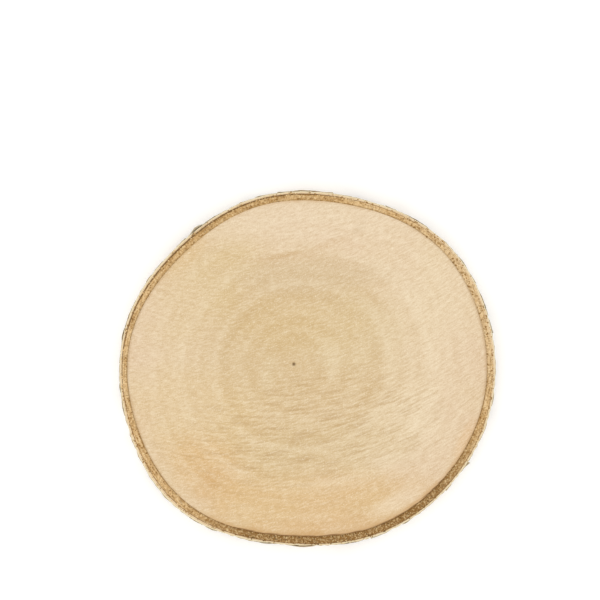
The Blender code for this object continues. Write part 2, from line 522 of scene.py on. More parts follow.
def wood_blank(columns, rows, sizes):
    """A flat closed disc of radius 1, in rows that run the way the saw went. Z is 1 above, 0 below."""
    # Rows lie closer together at both ends, and round the pith
    even = np.linspace(-1, 1, rows)
    across = 0.35 * np.sin(even * math.pi / 2) + 0.65 * even
    across = crowded(across, sizes.pith_y / sizes.mean_radius, 0.04)
    half = np.sqrt(np.clip(1 - across**2, 0, None))
    along = crowded(np.linspace(-1, 1, columns), sizes.pith_x / sizes.mean_radius, 0.05)
    x = half[:, None] * along[None, :]
    y = np.broadcast_to(across[:, None], x.shape)
    top = np.stack([x, y, np.ones_like(x)], axis=-1).reshape(-1, 3)
    bottom = top * (1, 1, 0)
    row, column = np.meshgrid(np.arange(rows - 1), np.arange(columns - 1), indexing="ij")
    here = row * columns + column
    quads = np.stack([here, here + 1, here + columns + 1, here + columns], axis=-1).reshape(-1, 4)
    edge = np.concatenate(
        [
            np.arange(columns),
            np.arange(1, rows) * columns + columns - 1,
            (rows - 1) * columns + np.arange(columns - 2, -1, -1),
            np.arange(rows - 2, 0, -1) * columns,
        ]
    )
    following = np.roll(edge, -1)
    walls = np.stack([edge + rows * columns, following + rows * columns, following, edge], axis=-1)
    faces = np.concatenate([quads, quads[:, ::-1] + rows * columns, walls]).tolist()
    return mesh_of("sawn_wood", np.concatenate([top, bottom]), faces)


def saw_arcs(tree, place, middle, reach, spacing, length):
    """A place in the saw's own terms: which mark it is on and how far along the mark.

    All the marks are arcs of one radius, each a step further back than the last. The lower face has
    marks of its own.
    """
    parts = add_node(tree, SPLIT, (place,)).outputs
    off = add_node(tree, MATH, (parts["X"], middle), operation="SUBTRACT")
    tilt = add_node(tree, MATH, (off, reach), operation="DIVIDE")
    sweep = add_node(tree, MATH, (tilt,), operation="ARCSINE")
    fall = add_node(tree, MATH, (sweep,), operation="COSINE")
    level = add_node(tree, MATH, (fall, reach, parts["Y"]), operation="MULTIPLY_ADD")
    mark = add_node(tree, MATH, (level, spacing), operation="DIVIDE")
    way = add_node(tree, MATH, (sweep, reach), operation="MULTIPLY")
    along = add_node(tree, MATH, (way, length), operation="DIVIDE")
    side = add_node(tree, MATH, (parts["Z"], 900.0), operation="MULTIPLY")
    return add_node(tree, JOIN, (mark, along, side))


def wood_tree():
    """Stretches the disc to the stem's outline, sinks the pith and gives both faces the saw's ripple."""
    tree, sockets, result = new_group(
        "Sawn disc",
        (
            *ROLL_SOCKETS,
            ("Thickness", "Float", 0.02),
            ("Pith", "Vector", (0, 0, 0)),
            ("Pith depth", "Float", 0.001),
            ("Saw middle", "Float", 0),
            ("Saw mark radius", "Float", 0.2),
            ("Saw mark spacing", "Float", 0.002),
            ("Saw mark depth", "Float", 0.0002),
            ("Material", "Material", None),
        ),
    )
    position = add_node(tree, "GeometryNodeInputPosition")
    disc = add_node(tree, SPLIT, (position,)).outputs
    angle = add_node(tree, MATH, (disc["Y"], disc["X"]), operation="ARCTAN2")
    surface, bark = stem_at(tree, sockets, angle)
    reach = add_node(tree, MATH, (surface, bark), operation="SUBTRACT")
    flat = add_node(tree, VECTOR, (position, (1, 1, 0)), operation="MULTIPLY")
    share = add_node(tree, VECTOR, (flat,), operation="LENGTH").outputs["Value"]
    spread = add_node(tree, VECTOR, {0: flat, "Scale": reach}, operation="SCALE")
    rise = add_node(tree, MATH, (disc["Z"], sockets["Thickness"]), operation="MULTIPLY")
    place = add_node(tree, VECTOR, (spread, add_node(tree, JOIN, {"Z": rise})), operation="ADD")

    # Growth rings start round the pith and end along the bark: each one's middle lies between the two
    ring = share
    for _ in range(3):
        inner = add_node(tree, MATH, (1.0, ring), operation="SUBTRACT")
        middle = add_node(tree, VECTOR, {0: sockets["Pith"], "Scale": inner}, operation="SCALE")
        from_middle = add_node(tree, VECTOR, (spread, middle), operation="SUBTRACT")
        length = add_node(tree, VECTOR, (from_middle,), operation="LENGTH").outputs["Value"]
        ring = add_node(tree, MATH, (length, reach), operation="DIVIDE").outputs[0]
    growth = add_node(tree, MATH, (ring, sockets["Mean radius"]), operation="MULTIPLY")
    edge = add_node(tree, MATH, (1.0, share), operation="SUBTRACT")
    depth = add_node(tree, MATH, (edge, reach), operation="MULTIPLY")
    upward = add_node(tree, MATH, (disc["Z"], 2.0, -1.0), operation="MULTIPLY_ADD")
    values = {"growth": growth, "from_bark": depth, "upward": upward}
    geometry = keep_values(tree, sockets["Geometry"], values)
    stretched = add_node(tree, MOVE, {"Geometry": geometry, "Position": place})
    merged = add_node(tree, "GeometryNodeMergeByDistance", {"Geometry": stretched, "Distance": WELD})

    # Saw marks only cut in, so the faces stay level. The pith is a ragged pit, 1 mm in radius
    here = add_node(tree, "GeometryNodeInputPosition")
    saw = [sockets[name] for name in ("Saw middle", "Saw mark radius", "Saw mark spacing")]
    arcs = saw_arcs(tree, here, *saw, 14 * MM)
    grooves = add_node(tree, NOISE, {"Vector": arcs, "Scale": 1.0, "Detail": 1.5})
    cut = add_node(tree, RANGE, {"Value": grooves, "From Min": 0.6, "From Max": 0.25})
    sunk = add_node(tree, MATH, (cut, sockets["Saw mark depth"]), operation="MULTIPLY")
    jag = add_node(tree, NOISE, {"Vector": here, "Scale": 1 / (1.2 * MM), "Detail": 1.0})
    growth_here = add_node(tree, READ, {"Name": "growth"}, data_type="FLOAT")
    ragged = add_node(tree, MATH, (jag, 1.2 * MM, growth_here), operation="MULTIPLY_ADD")
    pit = add_node(
        tree,
        RANGE,
        {"Value": ragged, "From Min": 1.6 * MM, "From Max": 0.7 * MM, "To Max": 1.0},
        interpolation_type="SMOOTHSTEP",
    )
    deep = add_node(tree, MATH, (pit, sockets["Pith depth"], sunk), operation="MULTIPLY_ADD")
    side = add_node(tree, READ, {"Name": "upward"}, data_type="FLOAT")
    down = add_node(tree, MATH, (side, -1.0), operation="MULTIPLY")
    fall = add_node(tree, MATH, (deep, down), operation="MULTIPLY")
    rippled = add_node(tree, MOVE, {"Geometry": merged, "Offset": add_node(tree, JOIN, {"Z": fall})})
    end_tree(tree, sockets, rippled, result)
    return tree


def patch(tree, coordinates, place, half_sizes, tilt, wobble):
    """A soft-edged oval on the face, 1 inside and 0 outside, with its edge broken up by noise."""
    local = add_node(
        tree,
        "ShaderNodeMapping",
        {
            "Vector": coordinates,
            "Location": (*place, 0),
            "Rotation": (0, 0, math.radians(tilt)),
            "Scale": (*half_sizes, 1),
        },
        vector_type="TEXTURE",
    )
    flat = add_node(tree, VECTOR, (local, (1, 1, 0)), operation="MULTIPLY")
    length = add_node(tree, VECTOR, (flat,), operation="LENGTH").outputs["Value"]
    shaken = add_node(tree, MATH, (wobble, 0.9, length), operation="MULTIPLY_ADD")
    return add_node(
        tree,
        RANGE,
        {"Value": shaken, "From Min": 1.6, "From Max": 0.5, "To Max": 1.0},
        interpolation_type="SMOOTHSTEP",
    )


# Bands of growth seen on the right half of the face: distance from the pith in mm, and how pale from -1 to 1
RINGS = (
    (0, 0.0),
    (5, -0.1),
    (11, 0.4),
    (14.5, -0.5),
    (18, -0.2),
    (22.5, 0.45),
    (26, 0.0),
    (30, -0.2),
    (34.5, 0.5),
    (38, 0.0),
    (41, 0.5),
    (46, -0.8),
    (50, -0.1),
    (54, 0.8),
    (60.5, -0.6),
    (65.5, 0.6),
    (71, -0.7),
    (75.5, 0.9),
    (78, 0.1),
    (81, 0.5),
    (84, -0.3),
    (88, 0.5),
    (91, -0.5),
    (95.5, 0.6),
    (100, 0.0),
)

# Patches seen on the sawn face: X and Y in mm, half length and half width in mm, tilt, colour, strength
FACE_PATCHES = (
    (-62, -30, 38, 26, -20, "#D6B984", 0.5),
    (-58, -58, 24, 15, -30, "#D2A86C", 0.65),
    (-59, -68, 10, 5, 60, "#CA9C5C", 0.5),
    (0, -78, 62, 17, 3, "#D3AD72", 0.66),
    (4, -93, 40, 6, 3, "#D0A872", 0.5),
    (-72, 66, 16, 6, 46, "#D4B078", 0.55),
    (-59, 48, 36, 17, 45, "#D2B885", 0.65),
    (92, -44, 13, 4, 68, "#D9B182", 0.5),
    (-16, 66.5, 20, 1.6, 11, "#C3A06E", 0.6),
    (14, 74, 15, 1.8, 22, "#C6A274", 0.5),
    (30, 82.5, 5, 2.0, 42, "#A88858", 0.6),
    (52, -78, 15, 4, 26, "#E9D5B8", 0.45),
    (12, 88, 70, 13, 3, "#E4CFB2", 0.6),
    (62, 62, 44, 24, -42, "#E2CCAC", 0.5),
    (66, 16, 24, 42, 0, "#E3CFAE", 0.55),
    (50, -38, 30, 18, 18, "#E5D3B2", 0.5),
    (24, 22, 26, 20, 0, "#DAC69E", 0.4),
    (-70, 10, 22, 44, 8, "#DFC8A6", 0.35),
    (0, 55, 44, 9, 3, "#D0B995", 0.5),
    (6, -48, 44, 16, 10, "#CFB689", 0.5),
    (13, 7, 5, 12, 10, "#E0CDA8", 0.5),
    (-23, -2, 3.5, 9, -8, "#DCC8A2", 0.45),
    (-8, 26, 34, 13, 0, "#CBAD74", 0.4),
)


def front_share(tree, coordinates):
    """1 along the front of the rim and 0 elsewhere. There the ring and its grains are drawn darker, and the
    wood's stain and torn teeth reach further in.
    """
    return patch(tree, coordinates, (18 * MM, -98 * MM), (96 * MM, 36 * MM), 18, 0.0)


def wood_material(sizes, colours):
    """Birch wood, sawn across and lightly sanded: pale and matt, faint rings, saw streaks, bright pores."""
    material, tree, shader, coordinates = new_material("birch_sawn_across", 0.35, 0.62)
    growth = add_node(tree, "ShaderNodeAttribute", attribute_name="growth").outputs["Fac"]
    from_bark = add_node(tree, "ShaderNodeAttribute", attribute_name="from_bark").outputs["Fac"]
    broad = add_node(tree, NOISE, {"Vector": coordinates, "Scale": 1 / (50 * MM), "Detail": 3.0})
    middling = add_node(tree, NOISE, {"Vector": coordinates, "Scale": 1 / (18 * MM), "Detail": 4.0})
    wobble = add_node(tree, MATH, (middling, 0.5), operation="SUBTRACT")

    shaken_growth = add_node(tree, MATH, (wobble, 30 * MM, growth), operation="MULTIPLY_ADD")
    heart = add_node(
        tree,
        RANGE,
        {"Value": shaken_growth, "From Min": 88 * MM, "From Max": 52 * MM, "To Max": 1.0},
        interpolation_type="SMOOTHSTEP",
    )
    colour = lay_over(
        tree,
        paint(colours.sapwood),
        ((broad, 0.38, 0.62, 1.0, colours.blush), (heart, 0.0, 1.0, 0.85, colours.heart)),
    )
    for x, y, half_length, half_width, tilt, shade, strength in FACE_PATCHES:
        half_sizes = (half_length * MM, half_width * MM)
        oval = patch(tree, coordinates, (x * MM, y * MM), half_sizes, tilt, wobble)
        colour = lay_over(tree, colour, ((oval, 0.0, 1.0, strength, shade),))

    # The rings lie up to a twentieth closer together on the left
    x = add_node(tree, SPLIT, (coordinates,)).outputs["X"]
    leftward = add_node(tree, RANGE, {"Value": x, "From Min": 0.0, "From Max": -90 * MM, "To Max": 0.05})
    closer = add_node(tree, MATH, (growth, leftward, growth), operation="MULTIPLY_ADD")
    wavy = add_node(tree, MATH, (wobble, 3.5 * MM, closer), operation="MULTIPLY_ADD")
    ramp_reach = 100 * MM
    outward = add_node(tree, MATH, (wavy, ramp_reach), operation="DIVIDE")
    rings = add_node(tree, "ShaderNodeValToRGB", (outward,))
    ramp = rings.color_ramp
    ramp.interpolation = "B_SPLINE"
    while len(ramp.elements) < len(RINGS):
        ramp.elements.new(1.0)
    for stop, (distance, paleness) in zip(ramp.elements, RINGS):
        stop.position = distance * MM / ramp_reach
        stop.color = (*[0.5 + paleness / 2] * 3, 1)

    around = add_node(tree, MATH, (rings.outputs[0], 0.5), operation="SUBTRACT")
    broken = add_node(tree, RANGE, {"Value": middling, "From Min": 0.3, "From Max": 0.55})
    ringed = add_node(tree, MATH, (around, broken), operation="MULTIPLY")

    # The saw left fine dashes 4 mm long all over, and streaks 17 mm long before the pith
    streak_arcs = saw_arcs(
        tree, coordinates, sizes.saw_middle, sizes.saw_reach, sizes.saw_spacing, length=17 * MM
    )
    dash_arcs = saw_arcs(tree, coordinates, middle=-0.2, reach=0.6, spacing=1.0 * MM, length=4 * MM)
    streaks = add_node(tree, NOISE, {"Vector": streak_arcs, "Scale": 1.0, "Detail": 3.0})
    dashes = add_node(tree, NOISE, {"Vector": dash_arcs, "Scale": 1.0, "Detail": 2.0})
    streaked = patch(tree, coordinates, (4 * MM, -35 * MM), (68 * MM, 27 * MM), 10, wobble)
    above = add_node(tree, MATH, (streaks, 0.5), operation="SUBTRACT")
    shown = add_node(tree, MATH, (streaked, 0.7, 0.2), operation="MULTIPLY_ADD")
    marks = add_node(tree, MATH, (above, shown), operation="MULTIPLY")

    # Real pores are 0.1 mm: they are drawn as grain of 0.6 mm, so that they show. Over them lie light
    # and dark dots, one or the other in each cell of 1.5 mm, as large as the cell's random number says
    pores = add_node(tree, NOISE, {"Vector": coordinates, "Scale": 1 / (0.6 * MM), "Detail": 1.0})
    dots = add_node(
        tree, "ShaderNodeTexVoronoi", {"Vector": coordinates, "Scale": 1 / (1.5 * MM), "Randomness": 1.0}
    ).outputs
    chosen = add_node(tree, SPLIT, (dots["Color"],)).outputs["X"]
    light_dot = add_node(tree, MATH, (chosen, -0.3, dots["Distance"]), operation="MULTIPLY_ADD")
    dark_dot = add_node(tree, MATH, (chosen, 0.45, dots["Distance"]), operation="MULTIPLY_ADD")
    pith = add_node(tree, MATH, (wobble, 3.5 * MM, growth), operation="MULTIPLY_ADD")

    # Along the bark the wood is stained, and torn in short teeth at the front
    front = front_share(tree, coordinates)
    rim = add_node(tree, MATH, (wobble, 4 * MM, from_bark), operation="MULTIPLY_ADD")
    stained = add_node(tree, MATH, (front, -2.0 * MM, rim), operation="MULTIPLY_ADD")
    teeth = add_node(tree, MATH, (streaks, 3 * MM, from_bark), operation="MULTIPLY_ADD")
    torn = add_node(tree, MATH, (front, -1.4 * MM, teeth), operation="MULTIPLY_ADD")
    colour = lay_over(
        tree,
        colour,
        (
            (ringed, 0.0, 0.5, 0.5, "#EFE0C2"),
            (ringed, 0.0, -0.5, 0.45, "#C2A473"),
            (marks, 0.02, -0.2, 0.6, "#B08C5A"),
            (marks, 0.02, 0.2, 0.3, "#F0E0C2"),
            (dashes, 0.5, 0.28, 0.28, "#BA9764"),
            (dashes, 0.5, 0.72, 0.28, "#F2E4C8"),
            (pores, 0.52, 0.72, 0.26, "#F1E2C6"),
            (pores, 0.48, 0.28, 0.26, "#BD9A69"),
            (light_dot, 0.04, -0.12, 0.3, "#F6E9CC"),
            (dark_dot, 0.26, 0.12, 0.3, "#BB9560"),
            (stained, 1.4 * MM, -1.2 * MM, 0.62, "#C0955C"),
            (torn, 0.9 * MM, 0.3 * MM, 0.85, "#80592A"),
            (pith, 1.4 * MM, 0.4 * MM, 0.85, "#6E5024"),
        ),
    )
    tree.links.new(colour, shader.inputs["Base Color"])
    height = add_node(tree, MATH, (pores, 0.3, marks), operation="MULTIPLY_ADD")
    bump = add_node(tree, "ShaderNodeBump", {"Height": height, "Strength": 0.35, "Distance": 0.08 * MM})
    tree.links.new(bump.outputs[0], shader.inputs["Normal"])
    return material


class BIRCH_OT_sawn_wood(bpy.types.Operator):
    """Makes the disc of wood with its saw marks, rings and pith"""

    bl_idname = "birch.sawn_wood"
    bl_label = "Sawn Wood"

    def execute(self, context):
        sizes, colours = context.scene.birch_sizes, context.scene.birch_colours
        columns, rows = ((132, 310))
        blank = add_object("sawn_wood", wood_blank(columns, rows, sizes))
        values = bark_values(sizes, wood_material(sizes, colours))
        values.update(
            {
                "Thickness": sizes.thickness,
                "Pith": (sizes.pith_x, sizes.pith_y, 0),
                "Pith depth": 0.8 * MM,
                "Saw middle": sizes.saw_middle,
                "Saw mark radius": sizes.saw_reach,
                "Saw mark spacing": sizes.saw_spacing,
                "Saw mark depth": 0.08 * MM,
            }
        )
        run_nodes(blank, wood_tree(), values)
        finish_piece(blank)
        return {"FINISHED"}


# Inner bark


def inner_bark_blank(columns, sizes):
    """The brown ring, flat: groove at the wood, level sawn top, steep worn edge and hidden walls."""
    angle = np.linspace(0, FULL_TURN, columns + 1)
    wear = rim_wear(angle, sizes)
    top, width = sizes.thickness, sizes.bark_width
    outer = sizes.paper_width * 0.75
    edge = top - 0.75 * sizes.rim_drop - 0.6 * wear
    at_front = np.clip(0.5 + 0.9 * np.cos(angle - math.radians(-75)), 0, 1)
    groove = 0.12 * MM + 0.3 * MM * at_front * (1 + 0.5 * noise_round(angle, 3 * MM, 3.0, sizes))
    # Each point of the section: its depth, its height and how roughly it was sawn, from 0 to 1
    section = []
    # Down the outer wall, which the paper hides
    for share in np.linspace(0, 1, 7):
        section.append((outer, edge - 0.25 * MM - share * 2.4 * MM, 0.5))
    for height in (0.6, 0.3, 0.08):
        section.append((outer, height * top, 0))
    # In along the foot, and up the inner wall, which the wood hides
    for share in np.linspace(0, 1, 8):
        depth = outer + 0.2 * MM + share * (width - outer)
        section.append((depth, 0.25 * MM * (1 - share) + 0.02 * MM, 0.6))
    for height in (0.1, 0.5, 0.9):
        section.append((width + 0.15 * MM, height * top, 0))
    # The groove, the sawn top and the worn edge
    section.append((width + 0.12 * MM, top - groove, 0.3))
    section.append((width - 0.12 * MM, top - groove, 0.3))
    section.append((width - 0.42 * MM, top - 0.7 * groove, 0.6))
    shoulder = outer + 1.0 * MM
    for share in np.linspace(0, 1, 9):
        depth = width - 0.75 * MM - share * (width - 0.75 * MM - shoulder)
        section.append((depth, top - 0.12 * MM - 0.1 * MM * share, 1))
    for share in np.linspace(0, 1, 5)[1:]:
        depth = shoulder - share * (shoulder - outer - 0.1 * MM)
        section.append((depth, top - 0.22 * MM - share * (top - edge - 0.22 * MM), 0.8))
    depths = [np.full_like(angle, depth) for depth, _, _ in section]
    heights = [np.broadcast_to(height, angle.shape) for _, height, _ in section]
    mesh, points = flat_strip("inner_bark", depths, heights, columns, sizes)
    store(mesh, "sawn", [np.full_like(angle, sawn) for _, _, sawn in section])
    store(mesh, "depth", -points[..., 1])
    return mesh


def inner_bark_tree():
    """Rolls the ring round the wood and roughens what was sawn: clumps of 1.6 mm, crumbs of 1.1 mm."""
    tree, sockets, result = new_group("Crumbly ring", (*BARK_SOCKETS, ("Crumb height", "Float", 0.0002)))
    rolled = roll_up(tree, sockets, sockets["Geometry"])
    position = add_node(tree, "GeometryNodeInputPosition")
    sawn = add_node(tree, READ, {"Name": "sawn"}, data_type="FLOAT")
    clumps = add_node(tree, NOISE, {"Vector": position, "Scale": 1 / (1.6 * MM), "Detail": 3.0})
    crumbs = add_node(
        tree, "ShaderNodeTexVoronoi", {"Vector": position, "Scale": 1 / (1.1 * MM)}, feature="F1"
    )
    rough = add_node(tree, MATH, (crumbs, 0.7, clumps), operation="MULTIPLY_ADD")
    centred = add_node(tree, MATH, (rough, 0.95), operation="SUBTRACT")
    height = add_node(tree, MATH, (centred, sockets["Crumb height"]), operation="MULTIPLY")
    masked = add_node(tree, MATH, (height, sawn), operation="MULTIPLY")
    capped = add_node(tree, MATH, (masked, 0.08 * MM), operation="MINIMUM")
    end_tree(tree, sockets, along_normal(tree, rolled, capped), result)
    return tree


def ring_stripes(tree, coordinates, depth, sizes):
    """Noise for growth stripes that run round with the bark, 8 mm long and 0.8 mm wide."""
    flat = add_node(tree, VECTOR, (coordinates, (1, 1, 0)), operation="MULTIPLY")
    direction = add_node(tree, VECTOR, (flat,), operation="NORMALIZE")
    layers = add_node(tree, MATH, (depth, 1 / (0.8 * MM)), operation="MULTIPLY")
    turn = sizes.mean_radius / (8 * MM)
    inward = add_node(tree, JOIN, {"Z": layers})
    along = add_node(tree, VECTOR, (direction, [turn] * 3, inward), operation="MULTIPLY_ADD")
    return add_node(tree, NOISE, {"Vector": along, "Scale": 1.0, "Detail": 3.0})


def inner_bark_material(sizes, colours):
    """Birch inner bark, sawn across: corky brown, full of pale stone cells, darker at both its edges."""
    material, tree, shader, coordinates = new_material("birch_inner_bark", 0.25, 0.85)
    depth = add_node(tree, "ShaderNodeAttribute", attribute_name="depth").outputs["Fac"]
    broad = add_node(tree, NOISE, {"Vector": coordinates, "Scale": 1 / (9 * MM), "Detail": 3.0})
    stripes = ring_stripes(tree, coordinates, depth, sizes)
    front = front_share(tree, coordinates)
    back_left = patch(tree, coordinates, (-66 * MM, 76 * MM), (84 * MM, 48 * MM), 45, 0.0)
    right = patch(tree, coordinates, (92 * MM, 36 * MM), (30 * MM, 46 * MM), 20, 0.0)
    back = patch(tree, coordinates, (-36 * MM, 94 * MM), (62 * MM, 24 * MM), 22, 0.0)
    clumps = add_node(
        tree, NOISE, {"Vector": coordinates, "Scale": 1 / (1.5 * MM), "Detail": 3.0, "Roughness": 0.65}
    )
    flecks = add_node(tree, NOISE, {"Vector": coordinates, "Scale": 1 / (1.0 * MM), "Detail": 2.0})
    centred = add_node(tree, MATH, (clumps, 1.6 * MM, -0.8 * MM), operation="MULTIPLY_ADD")
    uneven = add_node(tree, MATH, (centred, depth), operation="ADD")
    inward = add_node(tree, MATH, (front, 0.5 * MM, uneven), operation="MULTIPLY_ADD")

    # The dark line under the paper lies nearer to the outside at the front and the front right. It is
    # strongest at the back left and weakest on the right
    thin = patch(tree, coordinates, (52 * MM, -84 * MM), (92 * MM, 52 * MM), 28, 0.0)
    under = add_node(tree, MATH, (thin, 0.5 * MM, depth), operation="MULTIPLY_ADD")
    from_line = add_node(tree, MATH, (under, -2.05 * MM), operation="ADD")
    wandering = add_node(tree, MATH, (clumps, 0.5 * MM, from_line), operation="MULTIPLY_ADD")
    to_line = add_node(tree, MATH, (wandering,), operation="ABSOLUTE")
    stronger = add_node(tree, MATH, (back_left, -0.3 * MM, to_line), operation="MULTIPLY_ADD")
    line = add_node(tree, MATH, (right, 0.15 * MM, stronger), operation="MULTIPLY_ADD")
    width = sizes.bark_width
    colour = lay_over(
        tree,
        paint(colours.inner_bark),
        (
            (broad, 0.36, 0.64, 1.0, "#D9B582"),
            (stripes, 0.5, 0.68, 0.7, "#A57A42"),
            (stripes, 0.5, 0.32, 0.6, "#E6CCA0"),
            (inward, width - 0.9 * MM, width, 0.85, "#76541F"),
            (right, 0.0, 1.0, 0.34, "#EBD4AD"),
            (back, 0.0, 1.0, 0.5, "#B58C52"),
            (front, 0.0, 1.0, 0.92, "#835C28"),
            (clumps, 0.5, 0.34, 0.6, "#8A642C"),
            (clumps, 0.52, 0.66, 0.55, "#E2C08C"),
            (flecks, 0.44, 0.28, 0.4, "#6A491C"),
            (flecks, 0.54, 0.72, 0.6, "#EBD2A2"),
            (under, 1.75 * MM, 1.5 * MM, 0.9, "#E4C8A2"),
            (line, 0.25 * MM, 0.08 * MM, 0.85, "#66471D"),
        ),
    )
    tree.links.new(colour, shader.inputs["Base Color"])
    bump = add_node(tree, "ShaderNodeBump", {"Height": flecks, "Strength": 0.6, "Distance": 0.25 * MM})
    tree.links.new(bump.outputs[0], shader.inputs["Normal"])
    return material


class BIRCH_OT_inner_bark(bpy.types.Operator):
    """Makes the brown ring of inner bark, with the dark groove of the cambium"""

    bl_idname = "birch.inner_bark"
    bl_label = "Inner Bark"

    def execute(self, context):
        sizes, colours = context.scene.birch_sizes, context.scene.birch_colours
        blank = add_object("inner_bark", inner_bark_blank(1500, sizes))
        values = bark_values(sizes, inner_bark_material(sizes, colours))
        values["Crumb height"] = 0.55 * MM
        run_nodes(blank, inner_bark_tree(), values)
        finish_piece(blank)
        return {"FINISHED"}


# Stone cells: the hard pale grains in the inner bark


def stone_cell_tree():
    """Scatters grains over the sawn top of the ring, each of its own size and tone."""
    tree, sockets, result = new_group(
        "Stone cells",
        (
            ("Geometry", "Geometry", None),
            ("Per square metre", "Float", 400000),
            ("Smallest", "Float", 0.0003),
            ("Largest", "Float", 0.0008),
            ("Seed", "Int", 3),
            ("Material", "Material", None),
        ),
    )
    sawn = add_node(tree, READ, {"Name": "sawn"}, data_type="FLOAT")
    facing = add_node(tree, SPLIT, (add_node(tree, "GeometryNodeInputNormal"),)).outputs["Z"]
    level = add_node(tree, MATH, (facing, 0.5), operation="GREATER_THAN")
    open_top = add_node(tree, MATH, (sawn, 0.55), operation="GREATER_THAN")
    there = add_node(tree, MATH, (level, open_top), operation="MULTIPLY")
    points = add_node(
        tree,
        "GeometryNodeDistributePointsOnFaces",
        {
            "Mesh": sockets["Geometry"],
            "Selection": there,
            "Density": sockets["Per square metre"],
            "Seed": sockets["Seed"],
        },
    ).outputs
    grain = add_node(tree, "GeometryNodeMeshIcoSphere", {"Radius": 0.5, "Subdivisions": 1})
    across = add_node(
        tree,
        "FunctionNodeRandomValue",
        {LEAST: sockets["Smallest"], MOST: sockets["Largest"], "Seed": 11},
        data_type="FLOAT",
    ).outputs[DRAWN]
    long = add_node(tree, MATH, (across, 1.3), operation="MULTIPLY")
    flat = add_node(tree, MATH, (across, 0.45), operation="MULTIPLY")
    size = add_node(tree, JOIN, (long, across, flat))
    turned = add_node(
        tree,
        "FunctionNodeRandomValue",
        {0: (-0.3, -0.3, 0.0), 1: (0.3, 0.3, FULL_TURN), "Seed": 12},
        data_type="FLOAT_VECTOR",
    ).outputs[0]
    placed = add_node(
        tree,
        "GeometryNodeInstanceOnPoints",
        {"Points": points["Points"], "Instance": grain, "Rotation": turned, "Scale": size},
    )
    tone = add_node(
        tree, "FunctionNodeRandomValue", {LEAST: 0.0, MOST: 1.0, "Seed": 13}, data_type="FLOAT"
    ).outputs[DRAWN]
    end_tree(tree, sockets, keep_values(tree, placed, {"tone": tone}, domain="INSTANCE"), result)
    return tree


def stone_cell_material(sizes):
    """Stone cells: hard and dull, tan and cream, darker by the wood and at the front."""
    material, tree, shader, coordinates = new_material("birch_stone_cells", 0.3, 0.8)
    tone = add_node(tree, "ShaderNodeAttribute", attribute_name="tone").outputs["Fac"]
    depth = add_node(tree, "ShaderNodeAttribute", attribute_name="depth").outputs["Fac"]
    stripes = ring_stripes(tree, coordinates, depth, sizes)
    front = front_share(tree, coordinates)
    dark_at_front = add_node(tree, MATH, (front, tone), operation="SUBTRACT")
    pale_at_front = add_node(tree, MATH, (front, tone), operation="ADD")
    width = sizes.bark_width
    colour = lay_over(
        tree,
        paint("#96703C"),
        (
            (tone, 0.0, 1.0, 1.0, "#C39A62"),
            (tone, 0.4, 0.8, 1.0, "#E2C088"),
            (stripes, 0.5, 0.64, 0.8, "#9C723A"),
            (stripes, 0.5, 0.36, 0.5, "#E9D0A4"),
            (depth, width - 0.9 * MM, width, 0.75, "#76541F"),
            (front, 0.0, 1.0, 0.4, "#7E5B2A"),
            (dark_at_front, 0.6, 0.9, 0.7, "#543B15"),
            (pale_at_front, 1.75, 1.95, 0.5, "#E0C08A"),
        ),
    )
    tree.links.new(colour, shader.inputs["Base Color"])
    return material


class BIRCH_OT_stone_cells(bpy.types.Operator):
    """Scatters the pale grains over the ring of inner bark"""

    bl_idname = "birch.stone_cells"
    bl_label = "Stone Cells"

    def execute(self, context):
        ring = bpy.data.objects["inner_bark"]
        blank = add_object("stone_cells", ring.data.copy())
        values = {
            "Per square metre": 520000.0,
            "Smallest": 0.45 * MM,
            "Largest": 1.15 * MM,
            "Seed": 3,
            "Material": stone_cell_material(context.scene.birch_sizes),
        }
        run_nodes(blank, stone_cell_tree(), values)
        finish_piece(blank)
        return {"FINISHED"}


# Outer bark


# Marks on the bark, the front's as seen and the back's made up: turn from the front in degrees, height,
# half length and half height in mm, strength
BROWN_STAINS = (
    (-68, 10, 4.2, 13, 0.9),
    (-33.5, 8, 5.5, 11, 0.65),
    (-34, 18, 11, 2.4, 0.6),
    (12.8, 16, 9.5, 5.5, 1.2),
    (11.3, 8, 7.5, 8, 1.0),
    (-49, 1.5, 26, 1.6, 0.6),
    (-26, 1.2, 14, 1.4, 0.6),
    (150, 9, 8, 8, 0.8),
    (225, 12, 5, 9, 0.7),
)
GREEN_STAINS = (
    (34.5, 11, 2.6, 9, 1.0),
    (29, 18.3, 8, 2.0, 0.9),
    (8, 5, 6, 5, 0.4),
    (-68, 14, 3.4, 5, 0.7),
    (-2, 9, 30, 8, 0.25),
    (95, 10, 6, 8, 0.7),
    (168, 12, 9, 6, 0.8),
    (205, 5, 12, 5, 0.7),
)
# Clusters of fine black dots
SOOT_CLUSTERS = (
    (-20.7, 14.8, 2.6, 2.6, 1.2),
    (-29.5, 16, 6, 3.5, 0.6),
    (-26, 13, 5, 4, 0.75),
    (-23.5, 9.5, 5, 4, 0.85),
    (-20, 6.5, 5, 3, 0.65),
    (-14, 4.5, 8, 2, 0.5),
    (-17, 13, 4, 2.5, 0.6),
    (-44, 13, 5, 2.5, 0.6),
    (-62, 12, 4, 5, 0.8),
    (-51.5, 10.5, 4, 4, 0.75),
    (-58, 17.4, 3.5, 1.8, 0.8),
    (-8, 13.5, 8, 1.4, 0.7),
    (-3, 5, 5, 3, 0.4),
    (48, 17.6, 9, 2.4, 0.75),
    (52.4, 5.3, 1.2, 3.5, 0.8),
    (63, 17.4, 6, 2, 0.75),
    (76, 9, 5, 10, 1.05),
    (-82, 9, 4, 10, 0.95),
    (110, 12, 12, 6, 0.7),
    (140, 6, 9, 4, 0.8),
    (185, 13, 10, 5, 0.7),
    (215, 8, 12, 6, 0.8),
    (240, 14, 7, 4, 0.7),
)
